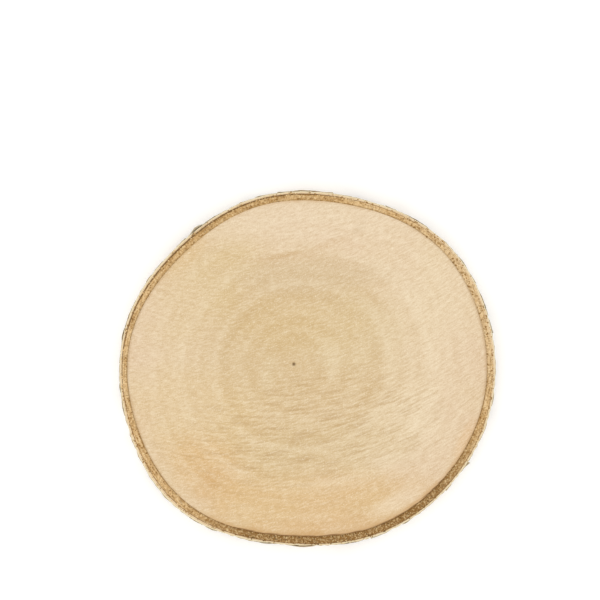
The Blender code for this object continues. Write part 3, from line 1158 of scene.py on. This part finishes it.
# Places where the paper is paler: cleaner paper, and at the left end also a painted highlight on that side
# of the stem
PALE_PLACES = (
    (-70, 11, 13, 12, 1.5),
    (-52, 8.5, 10, 4, 0.8),
    (-44, 5, 8, 5, 0.6),
    (22, 14, 6, 5, 0.8),
    (68, 10, 10, 12, 0.7),
    (120, 8, 20, 7, 0.8),
    (195, 11, 24, 6, 0.8),
)


def blots(angle, height, places, sizes):
    """Soft ovals on the bark, each as strong as its last number in the middle."""
    total = np.zeros(angle.shape)
    for turn, level, half_length, half_height, strength in places:
        along = arc_from(angle, FRONT + math.radians(turn), sizes) / (half_length * MM)
        up = (height - level * MM) / (half_height * MM)
        total = np.maximum(total, strength * np.clip(1.5 - np.sqrt(along**2 + up**2), 0, 1))
    return total


def lenticel_field(angle, height, sizes, spread):
    """1 on a lenticel's crest and 0 at its edge, with every lenticel widened by a factor."""
    field = np.zeros(angle.shape)
    for at, level, length, width, _ in all_lenticels(sizes):
        share = 2 * arc_from(angle, at, sizes) / (length * (1 + 0.3 * (spread - 1)))
        half_width = width / 2 * np.clip(1 - share**2, 0.001, None) * spread
        field = np.maximum(field, 1 - ((height - level) / half_width) ** 2)
    return field


def outer_bark_blank(columns, side_rows, sizes):
    """The white bark, flat: a thin sheet with a frayed upper edge, and its stains kept as numbers."""
    angle = np.linspace(0, FULL_TURN, columns + 1)
    edge = sizes.thickness - sizes.rim_drop - rim_wear(angle, sizes)
    edge = edge + 0.25 * MM * noise_round(angle, 1.6 * MM, 4.0, sizes)
    low = 0.8 * MM + 0.3 * MM * noise_round(angle, 6 * MM, 2.0, sizes)
    paper = sizes.paper_width
    fray = 0.42 * MM * noise_round(angle, 2.6 * MM, 7.0, sizes)
    fray = fray + 0.3 * MM * noise_round(angle, 9 * MM, 8.0, sizes)
    depths, heights = [], []
    # Down the outside, round the foot, up the hidden back, and out over the torn layers at the top
    for share in np.linspace(0, 1, side_rows):
        depths.append(-fray * np.exp(-share * 9))
        heights.append(edge + (low - edge) * share)
    for depth, height in ((0.35, 0.5 * low), (0.8, 0.25 * low), (1.1, 0.7 * low)):
        depths.append(np.full_like(angle, depth * paper))
        heights.append(height)
    depths.append(np.full_like(angle, 1.1 * paper))
    heights.append(np.full_like(angle, sizes.thickness / 2))
    layers = 0.35 * MM * noise_round(angle, 1.3 * MM, 6.0, sizes)
    for depth, rise, share in ((1.1, -0.5, 0), (0.95, 0.1, 0.3), (0.7, 0.25, 0.6), (0.35, 0.2, 1)):
        depths.append(depth * paper - fray * share)
        heights.append(edge + rise * MM + layers * share)
    mesh, points = flat_strip("outer_bark", depths, heights, columns, sizes)
    level = points[..., 2]
    around = np.tile(angle, (len(heights), 1))
    fields = {
        "brown": blots(around, level, BROWN_STAINS, sizes),
        "green": blots(around, level, GREEN_STAINS, sizes),
        "soot": blots(around, level, SOOT_CLUSTERS, sizes),
        "pale": blots(around, level, PALE_PLACES, sizes),
        "halo": lenticel_field(around, level, sizes, 1.5),
        "lip": lenticel_field(around, level, sizes, 1.1),
        "below_edge": edge - level,
        "above_foot": level - low,
        "depth": -points[..., 1],
    }
    for name, values in fields.items():
        store(mesh, name, values)
    return mesh


def outer_bark_tree():
    """Rolls the sheet round the stem, raises its relief and the lips round its lenticels."""
    tree, sockets, result = new_group("White bark", (*BARK_SOCKETS, ("Lip height", "Float", 0.0002)))
    raised = raise_relief(tree, sockets, roll_up(tree, sockets, sockets["Geometry"]))
    lip = add_node(tree, READ, {"Name": "lip"}, data_type="FLOAT")
    height = add_node(tree, MATH, (lip, sockets["Lip height"]), operation="MULTIPLY")
    end_tree(tree, sockets, along_normal(tree, raised, height), result)
    return tree


def outer_bark_material(colours):
    """Birch outer bark: waxy white paper, slightly shiny, with fine level lines, lichen and stains."""
    material, tree, shader, coordinates = new_material("birch_paper_bark", 0.35, 0.6)
    field = {
        name: add_node(tree, "ShaderNodeAttribute", attribute_name=name).outputs["Fac"]
        for name in ("brown", "green", "soot", "pale", "halo", "below_edge", "above_foot", "depth")
    }
    # Patches of 22 mm and 4 mm, level lines 1 mm high, upright ones 1.5 mm wide, specks of 1.1 mm
    broad = add_node(tree, NOISE, {"Vector": coordinates, "Scale": 1 / (22 * MM), "Detail": 3.0})
    middling = add_node(tree, NOISE, {"Vector": coordinates, "Scale": 1 / (4 * MM), "Detail": 4.0})
    level = add_node(tree, VECTOR, (coordinates, (140, 140, 1000)), operation="MULTIPLY")
    lines = add_node(tree, NOISE, {"Vector": level, "Scale": 1.0, "Detail": 3.0})
    upright = add_node(tree, VECTOR, (coordinates, (650, 650, 100)), operation="MULTIPLY")
    columns = add_node(tree, NOISE, {"Vector": upright, "Scale": 1.0, "Detail": 2.0})
    specks = add_node(
        tree, NOISE, {"Vector": coordinates, "Scale": 1 / (1.1 * MM), "Detail": 3.0, "Roughness": 0.7}
    )
    ragged = add_node(tree, MATH, (middling, 1.1, -0.55), operation="MULTIPLY_ADD")
    crumbly = add_node(tree, MATH, (specks, 1.8, -0.9), operation="MULTIPLY_ADD")
    brown = add_node(tree, MATH, (field["brown"], ragged), operation="ADD")
    deep_brown = add_node(tree, MATH, (brown, crumbly), operation="ADD")
    green = add_node(tree, MATH, (field["green"], ragged), operation="ADD")
    deep_green = add_node(tree, MATH, (green, crumbly), operation="ADD")
    cluster = add_node(tree, MATH, (field["soot"], 0.24, specks), operation="MULTIPLY_ADD")
    smudge = add_node(tree, MATH, (field["soot"], 0.3, middling), operation="MULTIPLY_ADD")
    halo = add_node(tree, MATH, (field["halo"], ragged), operation="ADD")
    worn_top = add_node(tree, MATH, (ragged, 1.2 * MM, field["below_edge"]), operation="MULTIPLY_ADD")
    worn_foot = add_node(tree, MATH, (ragged, 1.2 * MM, field["above_foot"]), operation="MULTIPLY_ADD")
    pale = add_node(tree, MATH, (field["pale"], ragged), operation="ADD")

    # The outermost layers of paper end in a thin torn line, 1.3 mm under the rim
    from_tear = add_node(tree, MATH, (worn_top, -1.3 * MM), operation="ADD")
    tear = add_node(tree, MATH, (from_tear,), operation="ABSOLUTE")
    # Along the foot a dark line: partly painted contact shadow, partly char from the saw
    foot_shadow_and_char = add_node(tree, MATH, (field["above_foot"],), operation="ABSOLUTE")

    # Where the rim cuts the paper it is pale, with a thin brown skin on its outside
    inside = add_node(tree, MATH, (ragged, 0.3 * MM, field["depth"]), operation="MULTIPLY_ADD")
    near_rim = add_node(tree, RANGE, {"Value": worn_top, "From Min": 0.6 * MM, "From Max": 0.2 * MM})
    skin = add_node(tree, RANGE, {"Value": inside, "From Min": 0.25 * MM, "From Max": 0.05 * MM})
    outer_skin = add_node(tree, MATH, (near_rim, skin), operation="MULTIPLY")
    colour = lay_over(
        tree,
        paint(colours.paper),
        (
            (broad, 0.4, 0.6, 1.0, "#D3BE9C"),
            (middling, 0.5, 0.7, 0.7, "#B9B29B"),
            (middling, 0.46, 0.3, 0.5, "#E2D9C6"),
            # Paler places: cleaner paper, and at the left end a painted highlight as well
            (pale, 0.2, 1.1, 0.75, "#EFE5D4"),
            (lines, 0.52, 0.74, 0.5, "#C0A97E"),
            (lines, 0.46, 0.28, 0.5, "#E9E1CF"),
            (columns, 0.56, 0.76, 0.45, "#BCB092"),
            (green, 0.3, 1.0, 0.75, "#A39559"),
            (deep_green, 0.9, 1.3, 0.6, "#7D6C3A"),
            (brown, 0.25, 0.85, 0.85, "#B5924F"),
            (deep_brown, 0.8, 1.25, 0.8, "#7A5420"),
            (smudge, 0.6, 0.86, 0.5, "#9A8F74"),
            (cluster, 0.66, 0.78, 0.7, "#6E634A"),
            (cluster, 0.78, 0.86, 0.85, "#2E2718"),
            (halo, 0.35, 0.9, 0.6, "#A5834A"),
            (worn_top, 1.3 * MM, 0.9 * MM, 0.5, "#D9BE92"),
            (tear, 0.3 * MM, 0.06 * MM, 0.5, "#A07C48"),
            (worn_top, 0.5 * MM, 0.1 * MM, 0.75, "#EADCB8"),
            (outer_skin, 0.2, 1.0, 0.6, "#8F6D42"),
            (worn_foot, 0.9 * MM, 0.1 * MM, 0.7, "#BE965C"),
            # Dark foot line: partly painted contact shadow, partly saw char
            (foot_shadow_and_char, 0.4 * MM, 0.1 * MM, 0.85, "#564426"),
            (inside, 0.85 * MM, 1.1 * MM, 0.45, "#BC9862"),
        ),
    )
    tree.links.new(colour, shader.inputs["Base Color"])
    gloss = add_node(tree, RANGE, {"Value": lines, "To Min": 0.48, "To Max": 0.75})
    tree.links.new(gloss.outputs[0], shader.inputs["Roughness"])
    fine = add_node(tree, MATH, (specks, 0.6, lines), operation="MULTIPLY_ADD")
    bump = add_node(tree, "ShaderNodeBump", {"Height": fine, "Strength": 0.6, "Distance": 0.15 * MM})
    tree.links.new(bump.outputs[0], shader.inputs["Normal"])
    return material


class BIRCH_OT_outer_bark(bpy.types.Operator):
    """Makes the white papery bark with its worn edges, stains and lichen"""

    bl_idname = "birch.outer_bark"
    bl_label = "Outer Bark"

    def execute(self, context):
        sizes, colours = context.scene.birch_sizes, context.scene.birch_colours
        columns, side_rows = ((1560, 48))
        blank = add_object("outer_bark", outer_bark_blank(columns, side_rows, sizes))
        values = bark_values(sizes, outer_bark_material(colours))
        values["Lip height"] = 0.22 * MM
        run_nodes(blank, outer_bark_tree(), values)
        finish_piece(blank)
        return {"FINISHED"}


# Lenticels


def lenticel_tree():
    """A corky lens on each point, with pointed ends and a rough crest, rolled round the stem."""
    tree, sockets, result = new_group(
        "Lenticels",
        (*BARK_SOCKETS, ("Roughness height", "Float", 0.0002), ("Roughness size", "Float", 0.002)),
    )
    ball = add_node(tree, "GeometryNodeMeshUVSphere", {"Segments": 20, "Rings": 44, "Radius": 0.5})
    lying = add_node(tree, "GeometryNodeTransform", {"Geometry": ball, "Rotation": (0, math.pi / 2, 0)})
    parts = add_node(tree, SPLIT, (add_node(tree, "GeometryNodeInputPosition"),)).outputs
    squared = add_node(tree, MATH, (parts["X"], parts["X"]), operation="MULTIPLY")
    rest = add_node(tree, MATH, (squared, -4.0, 1.0), operation="MULTIPLY_ADD")
    open_rest = add_node(tree, MATH, (rest, 0.0001), operation="MAXIMUM")
    narrow = add_node(tree, MATH, (open_rest, 0.7), operation="POWER")
    outward = add_node(tree, MATH, (parts["Y"], narrow), operation="DIVIDE")
    thick = add_node(tree, MATH, (parts["Y"], narrow), operation="MULTIPLY")
    tall = add_node(tree, MATH, (parts["Z"], narrow), operation="MULTIPLY")
    pointed = add_node(tree, JOIN, (parts["X"], thick, tall))
    kept = keep_values(tree, lying, {"crest": outward, "tip": squared})
    lens = add_node(tree, MOVE, {"Geometry": kept, "Position": pointed})
    size = add_node(tree, READ, {"Name": "size"}, data_type="FLOAT_VECTOR")
    tilt = add_node(tree, READ, {"Name": "tilt"}, data_type="FLOAT")
    turned = add_node(tree, JOIN, {"Y": tilt})
    placed = add_node(
        tree,
        "GeometryNodeInstanceOnPoints",
        {"Points": sockets["Geometry"], "Instance": lens, "Rotation": turned, "Scale": size},
    )
    real = add_node(tree, "GeometryNodeRealizeInstances", {"Geometry": placed})

    # The edge wanders up and down by up to 0.6 mm before the lens is rolled
    flat_place = add_node(tree, "GeometryNodeInputPosition")
    stretched = add_node(tree, VECTOR, (flat_place, (300, 0, 500)), operation="MULTIPLY")
    wander = add_node(tree, NOISE, {"Vector": stretched, "Scale": 1.0, "Detail": 3.0})
    up = add_node(tree, MATH, (wander, 1.2 * MM, -0.6 * MM), operation="MULTIPLY_ADD")
    ragged = add_node(tree, MOVE, {"Geometry": real, "Offset": add_node(tree, JOIN, {"Z": up})})
    raised = raise_relief(tree, sockets, roll_up(tree, sockets, ragged))
    here = add_node(tree, "GeometryNodeInputPosition")
    scaled = add_node(tree, VECTOR, (here, sockets["Roughness size"]), operation="DIVIDE")
    rough = add_node(tree, NOISE, {"Vector": scaled, "Scale": 1.0, "Detail": 3.0})
    centred = add_node(tree, MATH, (rough, 0.5), operation="SUBTRACT")
    height = add_node(tree, MATH, (centred, sockets["Roughness height"]), operation="MULTIPLY")
    end_tree(tree, sockets, along_normal(tree, raised, height), result)
    return tree


def lenticel_material(colours):
    """Cork of a lenticel: dull golden brown and crumbly, dark along its edges and at its ends."""
    material, tree, shader, coordinates = new_material("lenticel_cork", 0.2, 0.9)
    field = {
        name: add_node(tree, "ShaderNodeAttribute", attribute_name=name).outputs["Fac"]
        for name in ("dark", "crest", "tip")
    }
    # Level grain 0.8 mm high, specks of 1.1 mm, upright cracks 0.9 mm wide, patches of 6 mm
    stretched = add_node(tree, VECTOR, (coordinates, (300, 300, 1300)), operation="MULTIPLY")
    grain = add_node(tree, NOISE, {"Vector": stretched, "Scale": 1.0, "Detail": 3.0})
    specks = add_node(tree, NOISE, {"Vector": coordinates, "Scale": 1 / (1.1 * MM), "Detail": 2.0})
    upright = add_node(tree, VECTOR, (coordinates, (1100, 1100, 260)), operation="MULTIPLY")
    cracks = add_node(tree, NOISE, {"Vector": upright, "Scale": 1.0, "Detail": 2.0})
    patches = add_node(tree, NOISE, {"Vector": coordinates, "Scale": 1 / (6 * MM), "Detail": 1.0})
    mixed = add_node(tree, MATH, (field["dark"], 0.75, grain), operation="MULTIPLY_ADD")
    edge = add_node(tree, MATH, (specks, 0.3, field["crest"]), operation="MULTIPLY_ADD")
    end = add_node(tree, MATH, (specks, 0.1, field["tip"]), operation="MULTIPLY_ADD")
    colour = lay_over(
        tree,
        paint("#BE9F60"),
        (
            (mixed, 0.5, 1.15, 1.0, colours.cork),
            (specks, 0.54, 0.7, 0.5, "#CDAE78"),
            (patches, 0.48, 0.64, 0.6, "#6A4D1E"),
            (patches, 0.44, 0.3, 0.45, "#CFAE7E"),
            (cracks, 0.52, 0.68, 0.65, "#543C16"),
            (edge, 0.5, 0.2, 0.8, "#5E4218"),
            (end, 0.12, 0.22, 0.8, "#5E4218"),
            (specks, 0.44, 0.3, 0.8, "#463012"),
        ),
    )
    tree.links.new(colour, shader.inputs["Base Color"])
    bump = add_node(tree, "ShaderNodeBump", {"Height": specks, "Strength": 0.7, "Distance": 0.25 * MM})
    tree.links.new(bump.outputs[0], shader.inputs["Normal"])
    return material


class BIRCH_OT_lenticels(bpy.types.Operator):
    """Makes the long level pores of the bark"""

    bl_idname = "birch.lenticels"
    bl_label = "Lenticels"

    def execute(self, context):
        sizes, colours = context.scene.birch_sizes, context.scene.birch_colours
        lenticels = all_lenticels(sizes)
        points = [(at % FULL_TURN * sizes.mean_radius, 0.05 * MM, level) for at, level, *_ in lenticels]
        mesh = mesh_of("lenticels", points)
        store(mesh, "dark", [dark for *_, dark in lenticels])
        store(mesh, "tilt", [0.012 * math.sin(5 * i) for i in range(len(lenticels))])
        lens_sizes = [(length, 1.1 * MM, 0.85 * width) for _, _, length, width, _ in lenticels]
        store(mesh, "size", lens_sizes, "FLOAT_VECTOR")
        blank = add_object("lenticels", mesh)
        values = bark_values(sizes, lenticel_material(colours))
        values.update({"Roughness height": 0.4 * MM, "Roughness size": 1.6 * MM})
        run_nodes(blank, lenticel_tree(), values)
        finish_piece(blank)
        return {"FINISHED"}


# Peels of paper


# Flakes seen round the rim: angle in degrees, then top, length, drop and lift in mm, and which end is
# free: 1 the one further round, -1 the nearer, 0 neither
RIM_PEELS = (
    (128.5, 18.9, 11, 3.0, 1.2, 0),
    (-31.5, 18.7, 5, 2.6, 1.15, 1),
    (92, 18.9, 12, 2.6, 0.55, 0),
    (98, 18.9, 7, 2.4, 0.45, 1),
    (84, 18.8, 8, 2.6, 0.45, -1),
    (13, 18.8, 8, 2.6, 0.6, -1),
    (18, 18.6, 6, 2.4, 0.4, 1),
    (169.5, 18.8, 9, 3.0, 0.7, 0),
    (162, 18.7, 7, 2.4, 0.4, 1),
    (268, 18.8, 16, 2.6, 0.55, 0),
    (256, 18.6, 9, 2.2, 0.35, 0),
    (293, 18.6, 10, 2.6, 0.4, -1),
    (192, 18.6, 9, 2.6, 0.4, 0),
)
SEEDED_PEELS = 22
PEEL_SEED = 21


def all_peels():
    """The flakes seen round the rim, then smaller seeded ones all round and up and down the bark."""
    chance = random.Random(PEEL_SEED)
    peels = list(RIM_PEELS)
    for i in range(SEEDED_PEELS):
        angle = 360 * (i + chance.uniform(0.1, 0.9)) / SEEDED_PEELS
        top = 18.8 if i % 4 else chance.uniform(6, 16)
        length, drop = chance.uniform(3.5, 8), chance.uniform(1.2, 2.2)
        peels.append((angle, top, length, drop, chance.uniform(0.15, 0.4), chance.choice((-1, 0, 0, 1))))
    return peels


def peel_tree():
    """A thin flake on each point, bent away from the bark at its free end or bulging in its middle."""
    tree, sockets, result = new_group("Peels", (*BARK_SOCKETS, ("Fray", "Float", 0.0005)))
    slab = add_node(
        tree,
        "GeometryNodeMeshCube",
        {"Size": (1, 1, 1), "Vertices X": 18, "Vertices Y": 2, "Vertices Z": 8},
    ).outputs["Mesh"]
    parts = add_node(tree, SPLIT, (add_node(tree, "GeometryNodeInputPosition"),)).outputs
    along = add_node(tree, MATH, (parts["X"], 0.5), operation="ADD")
    down = add_node(tree, MATH, (0.5, parts["Z"]), operation="SUBTRACT")
    depth = add_node(
        tree, RANGE, {"Value": parts["Y"], "From Min": 0.3, "From Max": -0.3, "To Max": 0.85 * MM}
    )
    kept = keep_values(tree, slab, {"along": along, "down": down, "depth": depth})

    # Each flake tapers to its ends from below
    squared = add_node(tree, MATH, (parts["X"], parts["X"]), operation="MULTIPLY")
    taper = add_node(tree, MATH, (squared, -3.2, 1.0), operation="MULTIPLY_ADD")
    hanging = add_node(tree, MATH, (down, taper), operation="MULTIPLY")
    foot = add_node(tree, MATH, (0.5, hanging), operation="SUBTRACT")
    shape = add_node(tree, JOIN, (parts["X"], parts["Y"], foot))
    flake = add_node(tree, MOVE, {"Geometry": kept, "Position": shape})
    size = add_node(tree, READ, {"Name": "size"}, data_type="FLOAT_VECTOR")
    placed = add_node(
        tree,
        "GeometryNodeInstanceOnPoints",
        {"Points": sockets["Geometry"], "Instance": flake, "Scale": size},
    )
    real = add_node(tree, "GeometryNodeRealizeInstances", {"Geometry": placed})
    field = {
        name: add_node(tree, READ, {"Name": name}, data_type="FLOAT")
        for name in ("along", "down", "lift", "free")
    }

    # How far each place bends out: most at the free end, or in the middle where both ends are held
    ahead = add_node(tree, MATH, (field["free"], 0.0), operation="MAXIMUM")
    turned = add_node(tree, MATH, (field["free"], -1.0), operation="MULTIPLY")
    behind = add_node(tree, MATH, (turned, 0.0), operation="MAXIMUM")
    either = add_node(tree, MATH, (field["free"],), operation="ABSOLUTE")
    held = add_node(tree, MATH, (1.0, either), operation="SUBTRACT")
    rest = add_node(tree, MATH, (1.0, field["along"]), operation="SUBTRACT")
    half_turn = add_node(tree, MATH, (field["along"], math.pi), operation="MULTIPLY")
    bulge = add_node(tree, MATH, (half_turn,), operation="SINE")
    total = 0.0
    for share, shape, power in ((ahead, field["along"], 1.8), (behind, rest, 1.8), (held, bulge, 1.2)):
        positive = add_node(tree, MATH, (shape, 0.0001), operation="MAXIMUM")
        bend = add_node(tree, MATH, (positive, power), operation="POWER")
        total = add_node(tree, MATH, (share, bend, total), operation="MULTIPLY_ADD")
    fade = add_node(tree, RANGE, {"Value": field["down"], "From Min": 1.0, "From Max": 0.1})
    bent = add_node(tree, MATH, (total, fade), operation="MULTIPLY")
    out = add_node(tree, MATH, (bent, field["lift"]), operation="MULTIPLY")

    # Edges torn in steps of 2.2 mm
    here = add_node(tree, "GeometryNodeInputPosition")
    level_place = add_node(tree, VECTOR, (here, (450, 0, 450)), operation="MULTIPLY")
    tear = add_node(tree, NOISE, {"Vector": level_place, "Scale": 1.0, "Detail": 3.0})
    up = add_node(tree, MATH, (tear, 0.5), operation="SUBTRACT")
    fray = add_node(tree, MATH, (up, sockets["Fray"]), operation="MULTIPLY")
    curled = add_node(
        tree, MOVE, {"Geometry": real, "Offset": add_node(tree, JOIN, {"Y": out, "Z": fray})}
    )
    raised = raise_relief(tree, sockets, roll_up(tree, sockets, curled))
    end_tree(tree, sockets, raised, result)
    return tree


class BIRCH_OT_peels(bpy.types.Operator):
    """Makes the flakes of paper that lift off round the rim"""

    bl_idname = "birch.peels"
    bl_label = "Peels"

    def execute(self, context):
        sizes = context.scene.birch_sizes
        peels = all_peels()
        points = [
            (math.radians(angle) % FULL_TURN * sizes.mean_radius, 0.12 * MM, (top - drop / 2) * MM)
            for angle, top, _, drop, _, _ in peels
        ]
        mesh = mesh_of("paper_peels", points)
        # The paper's material is worn at rim and foot, and a flake counts as far from both
        for name in ("below_edge", "above_foot"):
            store(mesh, name, [3 * MM] * len(peels))
        store(mesh, "lift", [lift * MM for *_, lift, _ in peels])
        store(mesh, "free", [free for *_, free in peels])
        flake_sizes = [(length * MM, 0.26 * MM, drop * MM) for _, _, length, drop, _, _ in peels]
        store(mesh, "size", flake_sizes, "FLOAT_VECTOR")
        blank = add_object("paper_peels", mesh)
        values = bark_values(sizes, bpy.data.materials["birch_paper_bark"])
        values["Fray"] = 1.4 * MM
        run_nodes(blank, peel_tree(), values)
        finish_piece(blank)
        return {"FINISHED"}


# Stage


class BIRCH_OT_stage(bpy.types.Operator):
    """Makes the pale floor, the soft light and the camera straight above the slice"""

    bl_idname = "birch.stage"
    bl_label = "Stage"

    def execute(self, context):
        stage, sizes = context.scene.birch_stage, context.scene.birch_sizes
        # A floor 12 m wide, just under the slice
        half, level = 6.0, -0.05 * MM
        corners = [(-half, -half, level), (half, -half, level), (half, half, level), (-half, half, level)]
        floor = add_object("floor", mesh_of("floor", corners, [(0, 1, 2, 3)]))
        # Back-lit white acrylic: matt, and never quite in shadow
        material, _, shader, _ = new_material("white_acrylic", 0.1, 0.9)
        shader.inputs["Base Color"].default_value = paint("#FBFBFB")
        shader.inputs["Emission Color"].default_value = (1, 1, 1, 1)
        shader.inputs["Emission Strength"].default_value = 0.1
        floor.data.materials.append(material)

        world = bpy.data.worlds.new("soft_white")
        world.use_nodes = True
        world.node_tree.nodes["Background"].inputs["Color"].default_value = (1, 1, 1, 1)
        world.node_tree.nodes["Background"].inputs["Strength"].default_value = stage.sky
        context.scene.world = world

        panel = bpy.data.lights.new("soft_panel", "AREA")
        panel.shape, panel.size = "DISK", 1.2
        panel.energy = stage.panel
        lamp = add_object("soft_panel", panel)
        lamp.location = (-0.2, -0.1, 1.7)
        lamp.rotation_euler = (-lamp.location).to_track_quat("-Z", "Y").to_euler()

        camera = bpy.data.cameras.new("camera")
        camera.lens = stage.lens
        camera.sensor_width = 36
        camera.clip_start, camera.clip_end = 0.05, 20
        eye = add_object("camera", camera)
        # Straight down, with the slice a little right of the middle and low in the frame
        eye.location = (-0.0047, 0.04025, sizes.thickness + stage.distance)
        context.scene.camera = eye
        context.scene.view_settings.view_transform = "Standard"
        return {"FINISHED"}


class BIRCH_PT_panel(bpy.types.Panel):
    """Lists the slice's sizes and colours, and the steps that make it"""

    bl_idname = "BIRCH_PT_panel"
    bl_label = "Birch Slice"
    bl_space_type = "VIEW_3D"
    bl_region_type = "UI"
    bl_category = "Birch Slice"

    def draw(self, context):
        for group in (context.scene.birch_sizes, context.scene.birch_colours, context.scene.birch_stage):
            column = self.layout.column(align=True)
            for name in group.bl_rna.properties.keys():
                if name not in ("rna_type", "name"):
                    column.prop(group, name)
        column = self.layout.column(align=True)
        for step in STEPS:
            column.operator(step.bl_idname)


STEPS = (
    BIRCH_OT_stage,
    BIRCH_OT_sawn_wood,
    BIRCH_OT_inner_bark,
    BIRCH_OT_stone_cells,
    BIRCH_OT_outer_bark,
    BIRCH_OT_lenticels,
    BIRCH_OT_peels,
)
GROUPS = {"birch_sizes": BirchSizes, "birch_colours": BirchColours, "birch_stage": BirchStage}


def register():
    for cls in (*GROUPS.values(), *STEPS, BIRCH_PT_panel):
        bpy.utils.register_class(cls)
    for name, group in GROUPS.items():
        setattr(bpy.types.Scene, name, PointerProperty(type=group))


def unregister():
    for name in GROUPS:
        delattr(bpy.types.Scene, name)
    for cls in (BIRCH_PT_panel, *reversed(STEPS), *GROUPS.values()):
        bpy.utils.unregister_class(cls)


def main():
    register()
    for step in STEPS:
        area, name = step.bl_idname.split(".")
        getattr(getattr(bpy.ops, area), name)()


if __name__ == "__main__":
    main()
